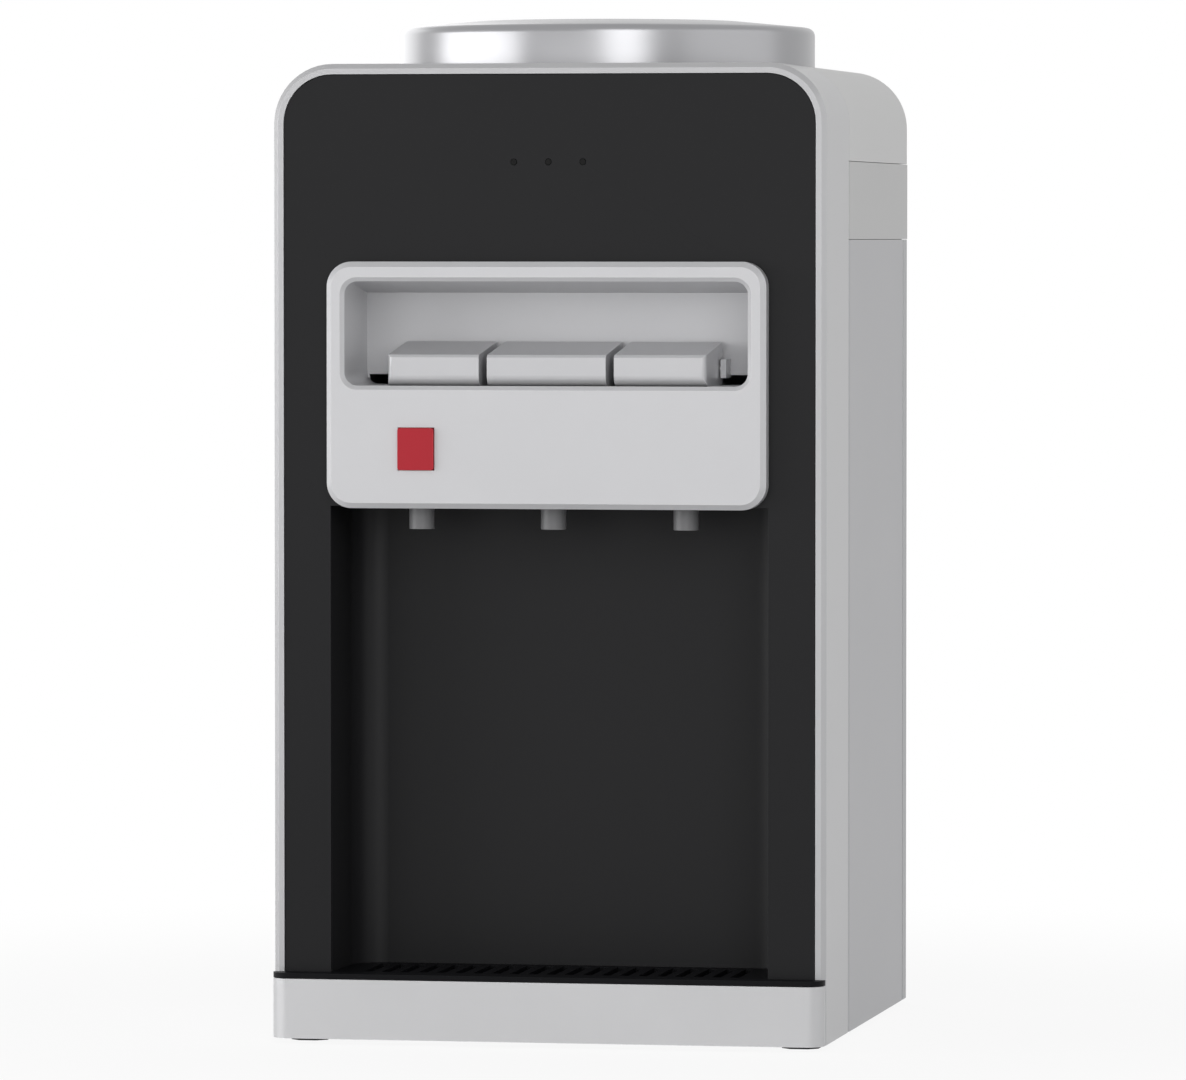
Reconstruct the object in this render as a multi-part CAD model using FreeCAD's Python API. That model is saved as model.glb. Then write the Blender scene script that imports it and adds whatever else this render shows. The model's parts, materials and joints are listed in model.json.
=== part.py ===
import FreeCAD, Part
import math
import os

from FreeCAD import Vector

# Tabletop water dispenser with three push keys. Millimetres.
# X runs to the right, Y from the front to the rear and Z up.
# Pieces are drawn with Y = 0 at the front plane of the silver trim, and moved as they are written so that
# the origin lies on the floor below the middle of the whole object.

# Cabinet
cabinet_width = 300.0
cabinet_depth = 290.0
cabinet_height = 525.0
floor_gap = 3.0
corner_radius = 32.0
plastic_wall = 3.0
sheet_wall = 1.2
seam_gap = 0.3
groove_radius = 3.0

# Front housing and black front panel
housing_depth = 79.0
trim_width = 5.6
trim_depth = 6.0
trim_bevel = 2.6
panel_setback = 0.6
panel_wall = 3.0
panel_opening_bevel = 10.0

# Alcove for the cup
alcove_width = 237.6
alcove_depth = 66.0
alcove_top = 288.5
alcove_corner = 18.0
alcove_wall = 2.5
alcove_flange = 7.0

# Tap housing with its finger window
tap_panel_width = 238.2
tap_panel_bottom = 287.6
tap_panel_top = 419.3
tap_panel_rise = 10.3
tap_panel_corner = 13.5
tap_panel_bevel = 2.9
tap_panel_wall = 2.5
window_width = 218.6
window_bottom = 353.1
window_top = 408.8
window_corner = 7.0
window_depth = 60.3
window_wall = 2.0
window_lip_bevel = 2.2
window_ceiling_drop = 6.4
window_gap_height = 5.3
window_gap_margin = 1.3

# Push keys
side_key_width = 49.7
middle_key_width = 64.4
key_gap = 4.5
key_setback = 4.8
key_front_top = 369.5
key_rear_top = 376.3
key_bottom = 352.9
key_wall = 2.0
key_top_wall = 2.4
key_edge_bevel = 1.3
key_front_round = 6.0
key_rear_gap = 4.0
key_outer_round = 3.0
key_pivot_inset = 10.0
key_pivot_height = 362.0
key_pivot_radius = 2.0
pivot_running_gap = 0.06
pivot_press_gap = 0.02
ear_width = 3.0
ear_radius = 5.0

# Taps
tap_spacing = 72.0
tap_axis_depth = 15.7
spout_bottom = 276.0
spout_radius = 6.8
outlet_radius = 5.4
tap_body_half = 11.0
tap_body_bevel = 3.0
tap_body_height = 40.0
seat_height = 300.0
stem_half = 2.3
guide_gap = 0.3
plug_half = 3.4
plug_height = 3.2
plunger_head_half = 7.0
plunger_head_top = 350.0
plunger_head_height = 4.0
pusher_gap = 0.4
pusher_size = 8.0
tap_inlet_drop = 15.0
tap_spring_radius = 4.6
spring_wire = 0.9
spring_turns = 3
spring_sides = 8

# Child lock button on the hot tap
lock_x = -69.8
lock_z = 319.4
lock_width = 19.5
lock_height = 22.4
lock_rise = 2.0
lock_travel = 3.5
lock_round = 1.4
lock_clearance = 0.3
lock_flange = 2.0
lock_flange_wall = 1.5
lock_stem_half = 2.0
lock_stem_margin = 0.5
lock_arm_top = 345.5
lock_arm_width = 8.0
lock_pad_depth = 2.5
lock_pad_size = 12.0
lock_spring_radius = 4.0

# Indicator lights
indicator_spacing = 18.7
indicator_height = 472.4
indicator_radius = 1.5
indicator_gap = 0.2
indicator_rise = 0.2
indicator_post = 4.0
indicator_board_height = 16.0
indicator_board_depth = 8.0
board_wall = 1.6

# Hoses and the ports that they end on
hose_radius = 6.5
hose_sides = 8
hose_bend = 9.0
port_size = 14.0
port_length = 3.0

# Top cover and side trims
cover_side_bottom = 473.4
trim_bottom = 431.0
trim_wall = 3.0
cover_rear_bevel = 3.0
collar_rear_margin = 116.0

# Bottle collar and bottle seat
collar_radius = 114.3
collar_height = 22.2
collar_crown_rise = 3.7
collar_lip_radius = 75.0
collar_round = 3.0
collar_wall = 2.2
collar_sides = 36
seat_lip_gap = 1.4
seat_wall = 2.2
well_radius = 33.0
seat_angle = 33.5
well_bottom = 478.0
seat_drop = 1.0

# Bottle probe
probe_radius = 9.5
probe_top = 532.0
probe_flange_half = 19.0
probe_flange_wall = 2.5
probe_bore = 7.0
probe_end_wall = 2.5
probe_tail = 8.0
probe_slot_width = 4.0
probe_slot_length = 12.0
probe_slot_rise = 7.5
probe_slot_drop = 5.0
probe_sides = 16

# Cold tank, its lid and its foam
tank_half = 61.5
tank_bevel = 9.0
tank_wall = 1.5
tank_bottom = 345.0
tank_rim_top = 498.0
tank_sides = 24
gasket_wall = 2.0
gasket_overhang = 1.0
lid_wall = 3.0
lid_overhang = 3.0
lid_hole_gap = 0.8
jacket_half = 74.0
jacket_bevel = 20.0
jacket_gap = 0.3
jacket_floor = 13.0
jacket_block_inset = 0.4
cold_outlet_x = 36.0
cold_outlet_forward = 14.0
normal_outlet_height = 440.0
baffle_height = 425.0
baffle_wall = 2.0
baffle_gap = 0.6
baffle_bevel = 22.0

# Thermoelectric cooler
cooler_height = 420.0
peltier_size = 40.0
peltier_wall = 3.8
cold_block_wall = 7.2
sink_size = 100.0
sink_base = 4.0
sink_depth = 21.7
fin_count = 13
fin_wall = 1.6
fan_size = 92.0
fan_depth = 19.8
fan_bore = 43.5
fan_corner = 5.0
fan_hub_radius = 17.0
fan_blades = 7
fan_blade_pitch = 40.0
fan_blade_wall = 1.6
fan_blade_chord = 13.0
fan_tip_gap = 1.5
fan_shaft_radius = 1.5
fan_strut_width = 5.0
fan_plate_wall = 2.0
fan_hub_gap = 0.8
fan_shaft_inset = 0.2

# Shelf under the cold tank
shelf_front_reach = 80.0
shelf_rear_reach = 98.0
shelf_flange = 12.0

# Hot tank
hot_tank_x = -72.0
hot_jacket_front_gap = 14.5
hot_tank_radius = 50.0
hot_tank_wall = 1.0
hot_tank_bottom = 90.0
hot_tank_top = 210.0
hot_jacket_half = 62.0
hot_jacket_bevel = 20.0
hot_jacket_top = 216.0
heater_bottom = 112.0
heater_height = 30.0
heater_width = 34.0
heater_wall = 5.0
heater_fit = 0.2
terminal_width = 16.0
thermostat_width = 14.0
thermostat_height = 6.0
thermostat_offset = 30.0
stand_wall = 2.0
stand_half = 40.0
stand_length = 60.0
stand_toe = 12.0
stand_hose_room = 2.5
drain_port_offset = 20.0
feed_hose_height = 55.0
cold_hose_run = 70.0

# Drain, cord inlet and switches in the rear panel
drain_height = 40.0
drain_thread_radius = 8.0
drain_bore = 5.0
drain_end_wall = 2.0
drain_flange_half = 11.0
drain_inner_length = 6.0
drain_spout_length = 10.0
drain_cap_radius = 11.0
drain_cap_length = 12.0
drain_cap_start = 2.0
drain_cap_sides = 12
gland_x = 100.0
gland_height = 40.0
gland_half = 6.3
gland_bore = 3.6
gland_flange_half = 9.5
gland_flange_wall = 2.5
gland_inner_length = 7.0
gland_nut_wall = 4.0
switch_x = 101.0
switch_spacing = 24.0
switch_height = 220.0
switch_width = 13.0
switch_tall = 19.0
switch_depth = 18.0
switch_rim = 1.5
switch_wall = 1.5
switch_pivot_inset = 2.0
rocker_foot = 3.0
rocker_tip = 4.5
rocker_middle = 3.4
rocker_tilt = 8.0
rear_flange = 15.0
vent_slot = 5.0
vent_pitch = 10.0
lower_vents = 6
lower_vent_x = 62.0
lower_vent_height = 110.0
lower_vent_length = 80.0

# Base pan, feet and control board
base_wall = 3.0
base_rim_height = 20.0
foot_width = 20.0
foot_bevel = 5.0
foot_x = 134.0
foot_inset = 20.0
board_left = 30.0
board_right = 130.0
board_rear_margin = 30.0
board_depth = 90.0
board_post_inset = 6.0
# Each as left edge, width, front edge, depth and height on the board
board_transformer = (32.0, 34.0, 30.0, 30.0, 28.0)
board_relay = (76.0, 18.0, 10.0, 16.0, 15.0)
board_connector = (6.0, 20.0, 74.0, 10.0, 11.0)
board_cooler = (14.0, 4.0, 14.0, 40.0, 25.0)
board_filters = ((76.0, 16.0, 44.0, 12.0, 22.0), (76.0, 16.0, 66.0, 12.0, 22.0))
board_components = (board_transformer, board_relay, board_connector, board_cooler) + board_filters
board_post_width = 8.0
board_post_height = 14.0
pan_vents = 7
pan_vent_width = 6.0

# Drip tray and grille
tray_rise = 11.0
tray_top = 35.0
tray_wall = 2.5
tray_corner = 10.0
tray_slide_gap = 0.9
grille_wall = 2.8
grille_slot_width = 5.0
grille_slot_pitch = 10.0
grille_slot_front = 6.0
grille_slot_rear = 56.0
grille_lip = 4.0
grille_rib = 2.0

# Lengths that follow from the sizes above
half_width = cabinet_width / 2
shell_bottom = floor_gap
pan_top = shell_bottom + base_wall
panel_half = half_width - trim_width - seam_gap
panel_front = panel_setback
panel_rear = panel_setback + panel_wall
alcove_half = alcove_width / 2
tap_panel_half = tap_panel_width / 2
tap_front = -tap_panel_rise
window_half = window_width / 2
window_back = tap_front + window_depth
key_front = tap_front + key_setback
key_rear = window_back - key_rear_gap
key_pivot_depth = window_back - key_pivot_inset
tap_body_bottom = alcove_top + alcove_wall
tap_body_top = tap_body_bottom + tap_body_height
tap_inlet_height = tap_body_top - tap_inlet_drop
collar_depth = cabinet_depth - collar_rear_margin
cold_block_rear_depth = collar_depth + tank_half + cold_block_wall
jacket_rear_depth = cold_block_rear_depth - jacket_block_inset
shelf_front_depth = collar_depth - shelf_front_reach
shelf_rear_depth = collar_depth + shelf_rear_reach
hot_tank_depth = alcove_depth + alcove_wall + hot_jacket_front_gap + hot_jacket_half
board_rear = cabinet_depth - board_rear_margin
board_front = board_rear - board_depth
inner_side = half_width - sheet_wall
rear_inner = cabinet_depth - sheet_wall
shelf_top = tank_bottom - jacket_floor - jacket_gap
grille_top = tray_top + seam_gap + grille_wall
tray_half = alcove_half - tray_slide_gap
tray_back = alcove_depth - 2 * tray_slide_gap
rear_reach = drain_cap_start + drain_cap_length
front_reach = max(tray_rise, tap_panel_rise + lock_rise)
origin_depth = (cabinet_depth + rear_reach - front_reach) / 2
tap_names = ("hot", "normal", "cold")
tap_places = (-tap_spacing, 0.0, tap_spacing)


# Shapes shared by the sub-parts
def box(x0, x1, y0, y1, z0, z1):
    return Part.makeBox(x1 - x0, y1 - y0, z1 - z0, Vector(x0, y0, z0))


def cylinder(radius, start, direction, length):
    return Part.makeCylinder(radius, length, Vector(*start), Vector(*direction))


def wire_through(corners, place):
    """A closed wire through (u, v, rounding) corners. A negative rounding cuts the corner straight."""
    count = len(corners)
    starts, ends, middles = [], [], []
    for i in range(count):
        before, here, after = corners[i - 1], corners[i], corners[(i + 1) % count]
        to_here = (here[0] - before[0], here[1] - before[1])
        away = (after[0] - here[0], after[1] - here[1])
        in_length = math.hypot(*to_here)
        out_length = math.hypot(*away)
        a = (to_here[0] / in_length, to_here[1] / in_length)
        b = (away[0] / out_length, away[1] / out_length)
        turn = math.atan2(a[0] * b[1] - a[1] * b[0], a[0] * b[0] + a[1] * b[1])
        rounding = here[2] if len(here) > 2 else 0.0
        reach = abs(rounding) * (math.tan(abs(turn) / 2) if rounding > 0 else 1)
        starts.append((here[0] - a[0] * reach, here[1] - a[1] * reach))
        ends.append((here[0] + b[0] * reach, here[1] + b[1] * reach))
        inward = (b[0] - a[0], b[1] - a[1])
        size = math.hypot(*inward)
        sag = rounding / math.cos(turn / 2) - rounding
        if rounding > 0 and reach > 1e-6:
            middles.append((here[0] + inward[0] / size * sag, here[1] + inward[1] / size * sag))
        else:
            middles.append(None)
    edges = []
    for i in range(count):
        if middles[i]:
            edges.append(Part.Arc(place(*starts[i]), place(*middles[i]), place(*ends[i])).toShape())
        elif math.dist(starts[i], ends[i]) > 1e-6:
            edges.append(Part.LineSegment(place(*starts[i]), place(*ends[i])).toShape())
        following = (i + 1) % count
        if math.dist(ends[i], starts[following]) > 1e-6:
            edges.append(Part.LineSegment(place(*ends[i]), place(*starts[following])).toShape())
    return Part.Wire(edges)


def prism(corners, axis, start, end):
    """A straight prism along x, y or z whose section runs through rounded corners."""
    places = {
        "x": lambda u, v: Vector(start, u, v),
        "y": lambda u, v: Vector(u, start, v),
        "z": lambda u, v: Vector(u, v, start),
    }
    sweeps = {"x": Vector(end - start, 0, 0), "y": Vector(0, end - start, 0), "z": Vector(0, 0, end - start)}
    return Part.Face(wire_through(corners, places[axis])).extrude(sweeps[axis])


def polygon(a, b, radius, sides):
    """Corners of a figure with equal sides that touch a circle of that radius from outside."""
    reach = radius / math.cos(math.pi / sides)
    angles = [2 * math.pi * (i + 0.5) / sides for i in range(sides)]
    return [(a + reach * math.cos(angle), b + reach * math.sin(angle)) for angle in angles]


def turned(section, x, y, sides):
    """A closed section of (radius, height) carried round an upright axis in flat facets."""
    rings = [[Vector(px, py, height) for px, py in polygon(x, y, radius, sides)] for radius,
             height in section]
    faces = []
    for low, high in zip(rings, rings[1:] + rings[:1]):
        for i in range(sides):
            after = (i + 1) % sides
            faces.append(Part.Face(Part.makePolygon([low[i], low[after], high[after], high[i], low[i]])))
    shell = Part.makeShell(faces)
    shell.sewShape()
    solid = Part.makeSolid(shell).removeSplitter()
    if solid.Volume < 0:
        solid.reverse()
    return solid


def rectangle(half, bottom, top, rounding):
    return [(-half, bottom, rounding), (half, bottom, rounding), (half, top, rounding),
            (-half, top, rounding)]


def square(x, y, half, corner):
    """A square outline about x, y with rounded corners, or with cut ones where corner is negative."""
    return [(x - half, y - half, corner), (x + half, y - half, corner), (x + half, y + half, corner),
            (x - half, y + half, corner)]


def arch(half, bottom, top, rounding):
    """An upright outline with square lower corners and rounded upper ones."""
    return [(-half, bottom), (half, bottom), (half, top, rounding), (-half, top, rounding)]


def bevelled(shape, size, wanted):
    return shape.makeChamfer(size, [e for e in shape.Edges if wanted(e)])


def in_plane_y(y):
    def test(edge):
        limits = edge.BoundBox
        return abs(limits.YMin - y) < 1e-4 and abs(limits.YMax - y) < 1e-4
    return test


def edge_cutter(side, y, direction, radius, z0, z1):
    """What rounding a vertical outer edge at the side wall takes away."""
    x = side * half_width
    corner = box(min(x, x - side * radius), max(x, x - side * radius),
                 min(y, y + direction * radius), max(y, y + direction * radius), z0, z1)
    return corner.cut(cylinder(radius, (x - side * radius, y + direction * radius, z0), (0, 0, 1), z1 - z0))


def mitred(points, radius, sides):
    """A solid with flat sides that follows straight runs and is mitred where they meet."""
    points = [Vector(*p) for p in points]
    runs = [(end - start).normalize() for start, end in zip(points, points[1:])]
    upright = abs(runs[0].z) > abs(runs[0].x) + abs(runs[0].y)
    across = runs[0].cross(Vector(0, 1, 0) if upright else Vector(0, 0, 1)).normalize()
    beside = runs[0].cross(across)
    angles = [math.pi * (2 * i + 1) / sides for i in range(sides)]
    rings = [[points[0] + across * (radius * math.cos(a)) + beside * (radius * math.sin(a)) for a in angles]]
    for run, following, end in zip(runs, runs[1:] + runs[-1:], points[1:]):
        normal = run + following
        rings.append([p + run * ((end - p).dot(normal) / run.dot(normal)) for p in rings[-1]])
    faces = [Part.Face(Part.makePolygon(ring + ring[:1])) for ring in (rings[0], rings[-1])]
    for near, far in zip(rings, rings[1:]):
        for i in range(sides):
            faces.append(Part.Face(Part.makePolygon([near[i - 1], near[i], far[i], far[i - 1], near[i - 1]])))
    solid = Part.Solid(Part.Shell(faces))
    if solid.Volume < 0:
        solid.reverse()
    return solid


def hose(points):
    """A plain hose whose corners are each eased into two half turns."""
    path = [Vector(*p) for p in points]
    eased = [path[0]]
    for before, here, after in zip(path, path[1:], path[2:]):
        eased.append(here + (before - here).normalize() * hose_bend)
        eased.append(here + (after - here).normalize() * hose_bend)
    return mitred(eased + [path[-1]], hose_radius, hose_sides)


def coil_spring(radius, length, start, direction):
    """A compression spring from start along direction, each turn in a few straight runs of square wire."""
    rise = length - spring_wire
    steps = spring_turns * spring_sides
    turn = FreeCAD.Rotation(Vector(0, 0, 1), Vector(*direction))
    path = []
    for i in range(steps + 1):
        angle = 2 * math.pi * i / spring_sides
        along = spring_wire / 2 + rise * i / steps
        place = Vector(radius * math.cos(angle), radius * math.sin(angle), along)
        path.append(Vector(*start) + turn.multVec(place))
    return mitred(path, spring_wire / math.sqrt(2), 4)


def fused(shapes):
    return shapes[0].multiFuse(shapes[1:]).removeSplitter()


# Cabinet shell
def front_housing():
    outer = prism(arch(half_width, shell_bottom, cabinet_height, corner_radius), "y", 0, housing_depth)
    outer = bevelled(outer, trim_bevel, lambda e: in_plane_y(0)(e) and e.BoundBox.ZMax > shell_bottom + 1)
    opening = prism(arch(half_width - trim_width, shell_bottom - 1, cabinet_height - trim_width,
                         corner_radius - trim_width), "y", -1, trim_depth + 1)
    hollow = prism(arch(half_width - plastic_wall, shell_bottom - 1, cabinet_height - plastic_wall,
                        corner_radius - plastic_wall), "y", trim_depth, housing_depth + 1)
    grooves = [edge_cutter(side, housing_depth, -1, groove_radius, shell_bottom, cover_side_bottom)
               for side in (-1, 1)]
    return outer.cut(opening.fuse(hollow)).cut(Part.makeCompound(grooves))


def front_panel():
    top = cabinet_height - trim_width - seam_gap
    panel = prism(arch(panel_half, pan_top + seam_gap, top, corner_radius - trim_width - seam_gap),
                  "y", panel_front, panel_rear)
    alcove = box(-alcove_half, alcove_half, -1, panel_rear + 1, shell_bottom, alcove_top)
    opening = prism(rectangle(alcove_half, tap_body_bottom + tap_panel_wall,
                              tap_panel_top - 2 * tap_panel_wall, -panel_opening_bevel),
                    "y", -1, panel_rear + 1)
    holes = [prism(polygon(x, indicator_height, indicator_radius + indicator_gap, 8), "y", -1, panel_rear + 1)
             for x in indicator_places()]
    posts = [box(x - indicator_post / 2, x + indicator_post / 2, panel_rear, indicator_board_depth,
                 indicator_height - indicator_post / 2, indicator_height + indicator_post / 2)
             for x in (-post_place(), post_place())]
    return fused([panel.cut(Part.makeCompound([alcove, opening] + holes))] + posts)


def post_place():
    return 1.5 * indicator_spacing


def indicator_places():
    return (-indicator_spacing, 0.0, indicator_spacing)


def alcove_liner():
    outer_half = alcove_half + alcove_wall
    back = alcove_depth + alcove_wall
    bend = alcove_corner + alcove_wall
    outline = [(-outer_half, panel_rear), (outer_half, panel_rear), (outer_half, back, bend),
               (-outer_half, back, bend)]
    inside = [(-alcove_half, panel_rear - 1), (alcove_half, panel_rear - 1),
              (alcove_half, alcove_depth, alcove_corner), (-alcove_half, alcove_depth, alcove_corner)]
    shell = prism(outline, "z", pan_top, tap_body_bottom).cut(prism(inside, "z", pan_top - 1, alcove_top))
    flanges = [box(min(side * alcove_half, side * (alcove_half + alcove_flange)),
                   max(side * alcove_half, side * (alcove_half + alcove_flange)),
                   panel_rear, panel_rear + alcove_wall, pan_top, tap_body_bottom) for side in (-1, 1)]
    holes = [prism(polygon(x, tap_axis_depth, spout_radius + 2 * guide_gap, 8), "z", alcove_top - 1,
                   alcove_top + 2 * alcove_wall) for x in tap_places]
    return fused([shell] + flanges).cut(Part.makeCompound(holes))


def top_cover():
    front = housing_depth + seam_gap
    outer = prism(arch(half_width, cover_side_bottom, cabinet_height, corner_radius), "y", front,
                  cabinet_depth)
    outer = bevelled(outer, cover_rear_bevel, lambda e: in_plane_y(cabinet_depth)(e)
                     and e.BoundBox.ZMax > cover_side_bottom + 1)
    hollow = prism(arch(half_width - plastic_wall, cover_side_bottom - 1, cabinet_height - plastic_wall,
                        corner_radius - plastic_wall), "y", front - 1, cabinet_depth - plastic_wall)
    hole = prism(polygon(0, collar_depth, cover_hole_radius(), collar_sides), "z",
                 cabinet_height - 2 * plastic_wall,
                 cabinet_height + plastic_wall)
    return outer.cut(hollow).cut(hole)


def cover_hole_radius():
    """The edge of the hole carries the underside of the bottle seat."""
    underside = seat_line(seat_outer()) - seat_wall / math.cos(math.radians(seat_angle))
    drop = underside - cabinet_height - guide_gap
    return seat_outer() - drop / math.tan(math.radians(seat_angle))


def side_trim(side):
    inner, outer = sorted((side * (half_width - trim_wall), side * half_width))
    front = housing_depth + seam_gap
    plate = box(inner, outer, front, cabinet_depth, trim_bottom + seam_gap, cover_side_bottom - seam_gap)
    cutters = [edge_cutter(side, front, 1, groove_radius / 2, trim_bottom, cover_side_bottom),
               edge_cutter(side, cabinet_depth, -1, groove_radius / 2, trim_bottom, cover_side_bottom)]
    return plate.cut(Part.makeCompound(cutters))


def side_panel(side):
    """Sheet steel with both upright edges bent inwards."""
    front = housing_depth + seam_gap
    rear = cabinet_depth - rear_flange
    bend = groove_radius
    inner_bend = groove_radius - sheet_wall
    lip = 3 * groove_radius
    section = [(half_width - lip, front), (half_width, front, bend), (half_width, rear, bend),
               (half_width - lip, rear), (half_width - lip, rear - sheet_wall),
               (inner_side, rear - sheet_wall, inner_bend), (inner_side, front + sheet_wall, inner_bend),
               (half_width - lip, front + sheet_wall)]
    section = [(side * c[0],) + c[1:] for c in section]
    panel = prism(section, "z", shell_bottom, trim_bottom)
    relief = box(-inner_side, inner_side, front - 1, rear + 1, shell_bottom - 1,
                 pan_top + base_rim_height + 1)
    return panel.cut(relief)


def rear_panel():
    """Sheet steel back with side flanges, the fan grille, lower vents and the holes for its fittings."""
    front = cabinet_depth - rear_flange + seam_gap
    half = half_width
    bend = groove_radius
    inner_bend = groove_radius - sheet_wall
    section = [(-half, front), (-half, cabinet_depth, bend), (half, cabinet_depth, bend), (half, front),
               (half - sheet_wall, front), (half - sheet_wall, rear_inner, inner_bend),
               (-half + sheet_wall, rear_inner, inner_bend), (-half + sheet_wall, front)]
    channel = prism(section, "z", shell_bottom, trim_bottom)
    upper_half = half_width - trim_wall - seam_gap
    upper = box(-upper_half, upper_half, rear_inner, cabinet_depth, trim_bottom - 1,
                cover_side_bottom - seam_gap)
    cuts = []
    rows = int((fan_bore - vent_slot / 2) // vent_pitch)
    for i in range(-rows, rows + 1):
        z = cooler_height + i * vent_pitch
        reach = math.sqrt(fan_bore ** 2 - (abs(i * vent_pitch) + vent_slot / 2) ** 2)
        cuts.append(box(-reach, reach, rear_inner - 1, cabinet_depth + 1, z - vent_slot / 2,
                        z + vent_slot / 2))
    for i in range(lower_vents):
        for side in (-1, 1):
            x = side * lower_vent_x
            z = lower_vent_height + i * vent_pitch
            cuts.append(box(x - lower_vent_length / 2, x + lower_vent_length / 2, rear_inner - 1,
                            cabinet_depth + 1, z, z + vent_slot))
    cuts.append(prism(polygon(hot_tank_x, drain_height, drain_thread_radius + guide_gap, 8), "y",
                      rear_inner - 1, cabinet_depth + 1))
    cuts.append(prism(polygon(gland_x, gland_height, gland_half + guide_gap, 8), "y", rear_inner - 1,
                      cabinet_depth + 1))
    across, tall = switch_width / 2 + guide_gap, switch_tall / 2 + guide_gap
    for x in switch_places():
        cuts.append(box(x - across, x + across, rear_inner - 1, cabinet_depth + 1, switch_height - tall,
                        switch_height + tall))
    return fused([channel, upper]).cut(Part.makeCompound(cuts))


def base_pan():
    pan_half = half_width - plastic_wall - seam_gap
    rear = rear_inner - seam_gap
    front_part = box(-panel_half, panel_half, seam_gap, trim_depth + 1, shell_bottom, pan_top)
    floor = box(-pan_half, pan_half, trim_depth + seam_gap, rear, shell_bottom, pan_top)
    rim_front = alcove_depth + 2 * alcove_flange
    rim = box(-pan_half, pan_half, rim_front, rear, pan_top, pan_top + base_rim_height)
    inside = box(-pan_half + base_wall, pan_half - base_wall, rim_front - 1, rear - base_wall,
                 pan_top, pan_top + base_rim_height + 1)
    pieces = [front_part, floor, rim.cut(inside)]
    half = board_post_width / 2
    for x, y in board_posts():
        pieces.append(box(x - half, x + half, y - half, y + half, pan_top, pan_top + board_post_height))
    cuts = []
    for i in range(pan_vents):
        x = board_left + 2 * board_post_inset + i * 2 * pan_vent_width
        cuts.append(box(x, x + pan_vent_width, board_front + 3 * board_post_inset,
                        board_rear - 3 * board_post_inset,
                        shell_bottom - 1, pan_top + 1))
    return fused(pieces).cut(Part.makeCompound(cuts))


def foot_places():
    return [(side * foot_x, y) for y in (foot_inset, cabinet_depth - foot_inset) for side in (-1, 1)]


def feet():
    return Part.makeCompound([prism(square(x, y, foot_width / 2, -foot_bevel), "z", 0, shell_bottom)
                              for x, y in foot_places()])


# Tap housing, keys and taps
def key_spans():
    middle = middle_key_width / 2
    inner = middle + key_gap
    outer = inner + side_key_width
    return {"hot": (-outer, -inner), "normal": (-middle, middle), "cold": (inner, outer)}


def window_recess(wall):
    """The window's inside, or the tub round it where a wall is given. Its ceiling drops towards the rear."""
    front, back = tap_front + tap_panel_wall / 2, window_back + wall
    low, high = window_bottom - wall, window_top + wall
    plan = prism(rectangle(window_half + wall, low, high, window_corner + wall), "y", front, back)
    slope = prism([(front, low), (back, low), (back, high - window_ceiling_drop),
                   (tap_front + tap_panel_wall, high), (front, high)], "x", -tap_panel_half, tap_panel_half)
    return plan.common(slope)


def tap_housing():
    shell = prism(rectangle(tap_panel_half, tap_panel_bottom, tap_panel_top, tap_panel_corner),
                  "y", tap_front, panel_front)
    shell = bevelled(shell, tap_panel_bevel, in_plane_y(tap_front))
    cavity = prism(rectangle(tap_panel_half - tap_panel_wall, tap_panel_bottom + tap_panel_wall,
                             tap_panel_top - tap_panel_wall, tap_panel_corner - tap_panel_wall),
                   "y", tap_front + tap_panel_wall, panel_front + 1)
    slot_half = key_spans()["cold"][1] + 2 * pusher_gap
    slot = box(-slot_half, slot_half, tap_front + tap_panel_wall, window_back,
               window_bottom - 2 * window_wall, window_bottom + window_gap_height)
    gap_half = window_half - window_gap_margin
    gap = box(-gap_half, gap_half, window_back - window_wall, window_back + 2 * window_wall,
              window_bottom - 2 * window_wall, window_bottom + window_gap_height)
    mouth = prism(rectangle(window_half, window_bottom, window_top, window_corner),
                  "y", tap_front - 1, tap_front + tap_panel_wall)
    body = fused([shell.cut(cavity), window_recess(window_wall)]).cut(mouth)
    body = bevelled(body, window_lip_bevel, lambda e: in_plane_y(tap_front)(e) and within_window(e))
    body = body.cut(window_recess(0)).cut(slot.fuse(gap))
    ears = []
    for x in ear_places():
        ears.append(box(x, x + ear_width, key_pivot_depth - ear_radius, window_back + window_wall / 2,
                        key_pivot_height - ear_radius, key_pivot_height + ear_radius))
    body = fused([body] + ears)
    rod_hole = prism(polygon(key_pivot_depth, key_pivot_height, key_pivot_radius + pivot_press_gap, 8), "x",
                     -rod_end() - 1, rod_end() + 1)
    lock_hole = box(lock_x - lock_width / 2 - lock_clearance, lock_x + lock_width / 2 + lock_clearance,
                    tap_front - 1, tap_front + tap_panel_wall + 1,
                    lock_z - lock_height / 2 - lock_clearance, lock_z + lock_height / 2 + lock_clearance)
    return body.cut(rod_hole).cut(lock_hole)


def within_window(edge):
    area = edge.BoundBox
    return area.ZMin > window_bottom - 1 and area.ZMax < window_top + 1 and area.XMax < window_half + 1


def ear_places():
    """Left faces of the ears that hold the rod: one in each gap between keys and one at each end."""
    spans = key_spans()
    between = (spans["normal"][1] + spans["cold"][0]) / 2 - ear_width / 2
    outer = spans["cold"][1] + 2 * pusher_gap
    return (-outer - ear_width, -between - ear_width, between, outer)


def rod_end():
    return ear_places()[-1] + ear_width


def key_pivot_rod():
    return cylinder(key_pivot_radius, (-rod_end(), key_pivot_depth, key_pivot_height), (1, 0, 0),
                    2 * rod_end())


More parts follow.
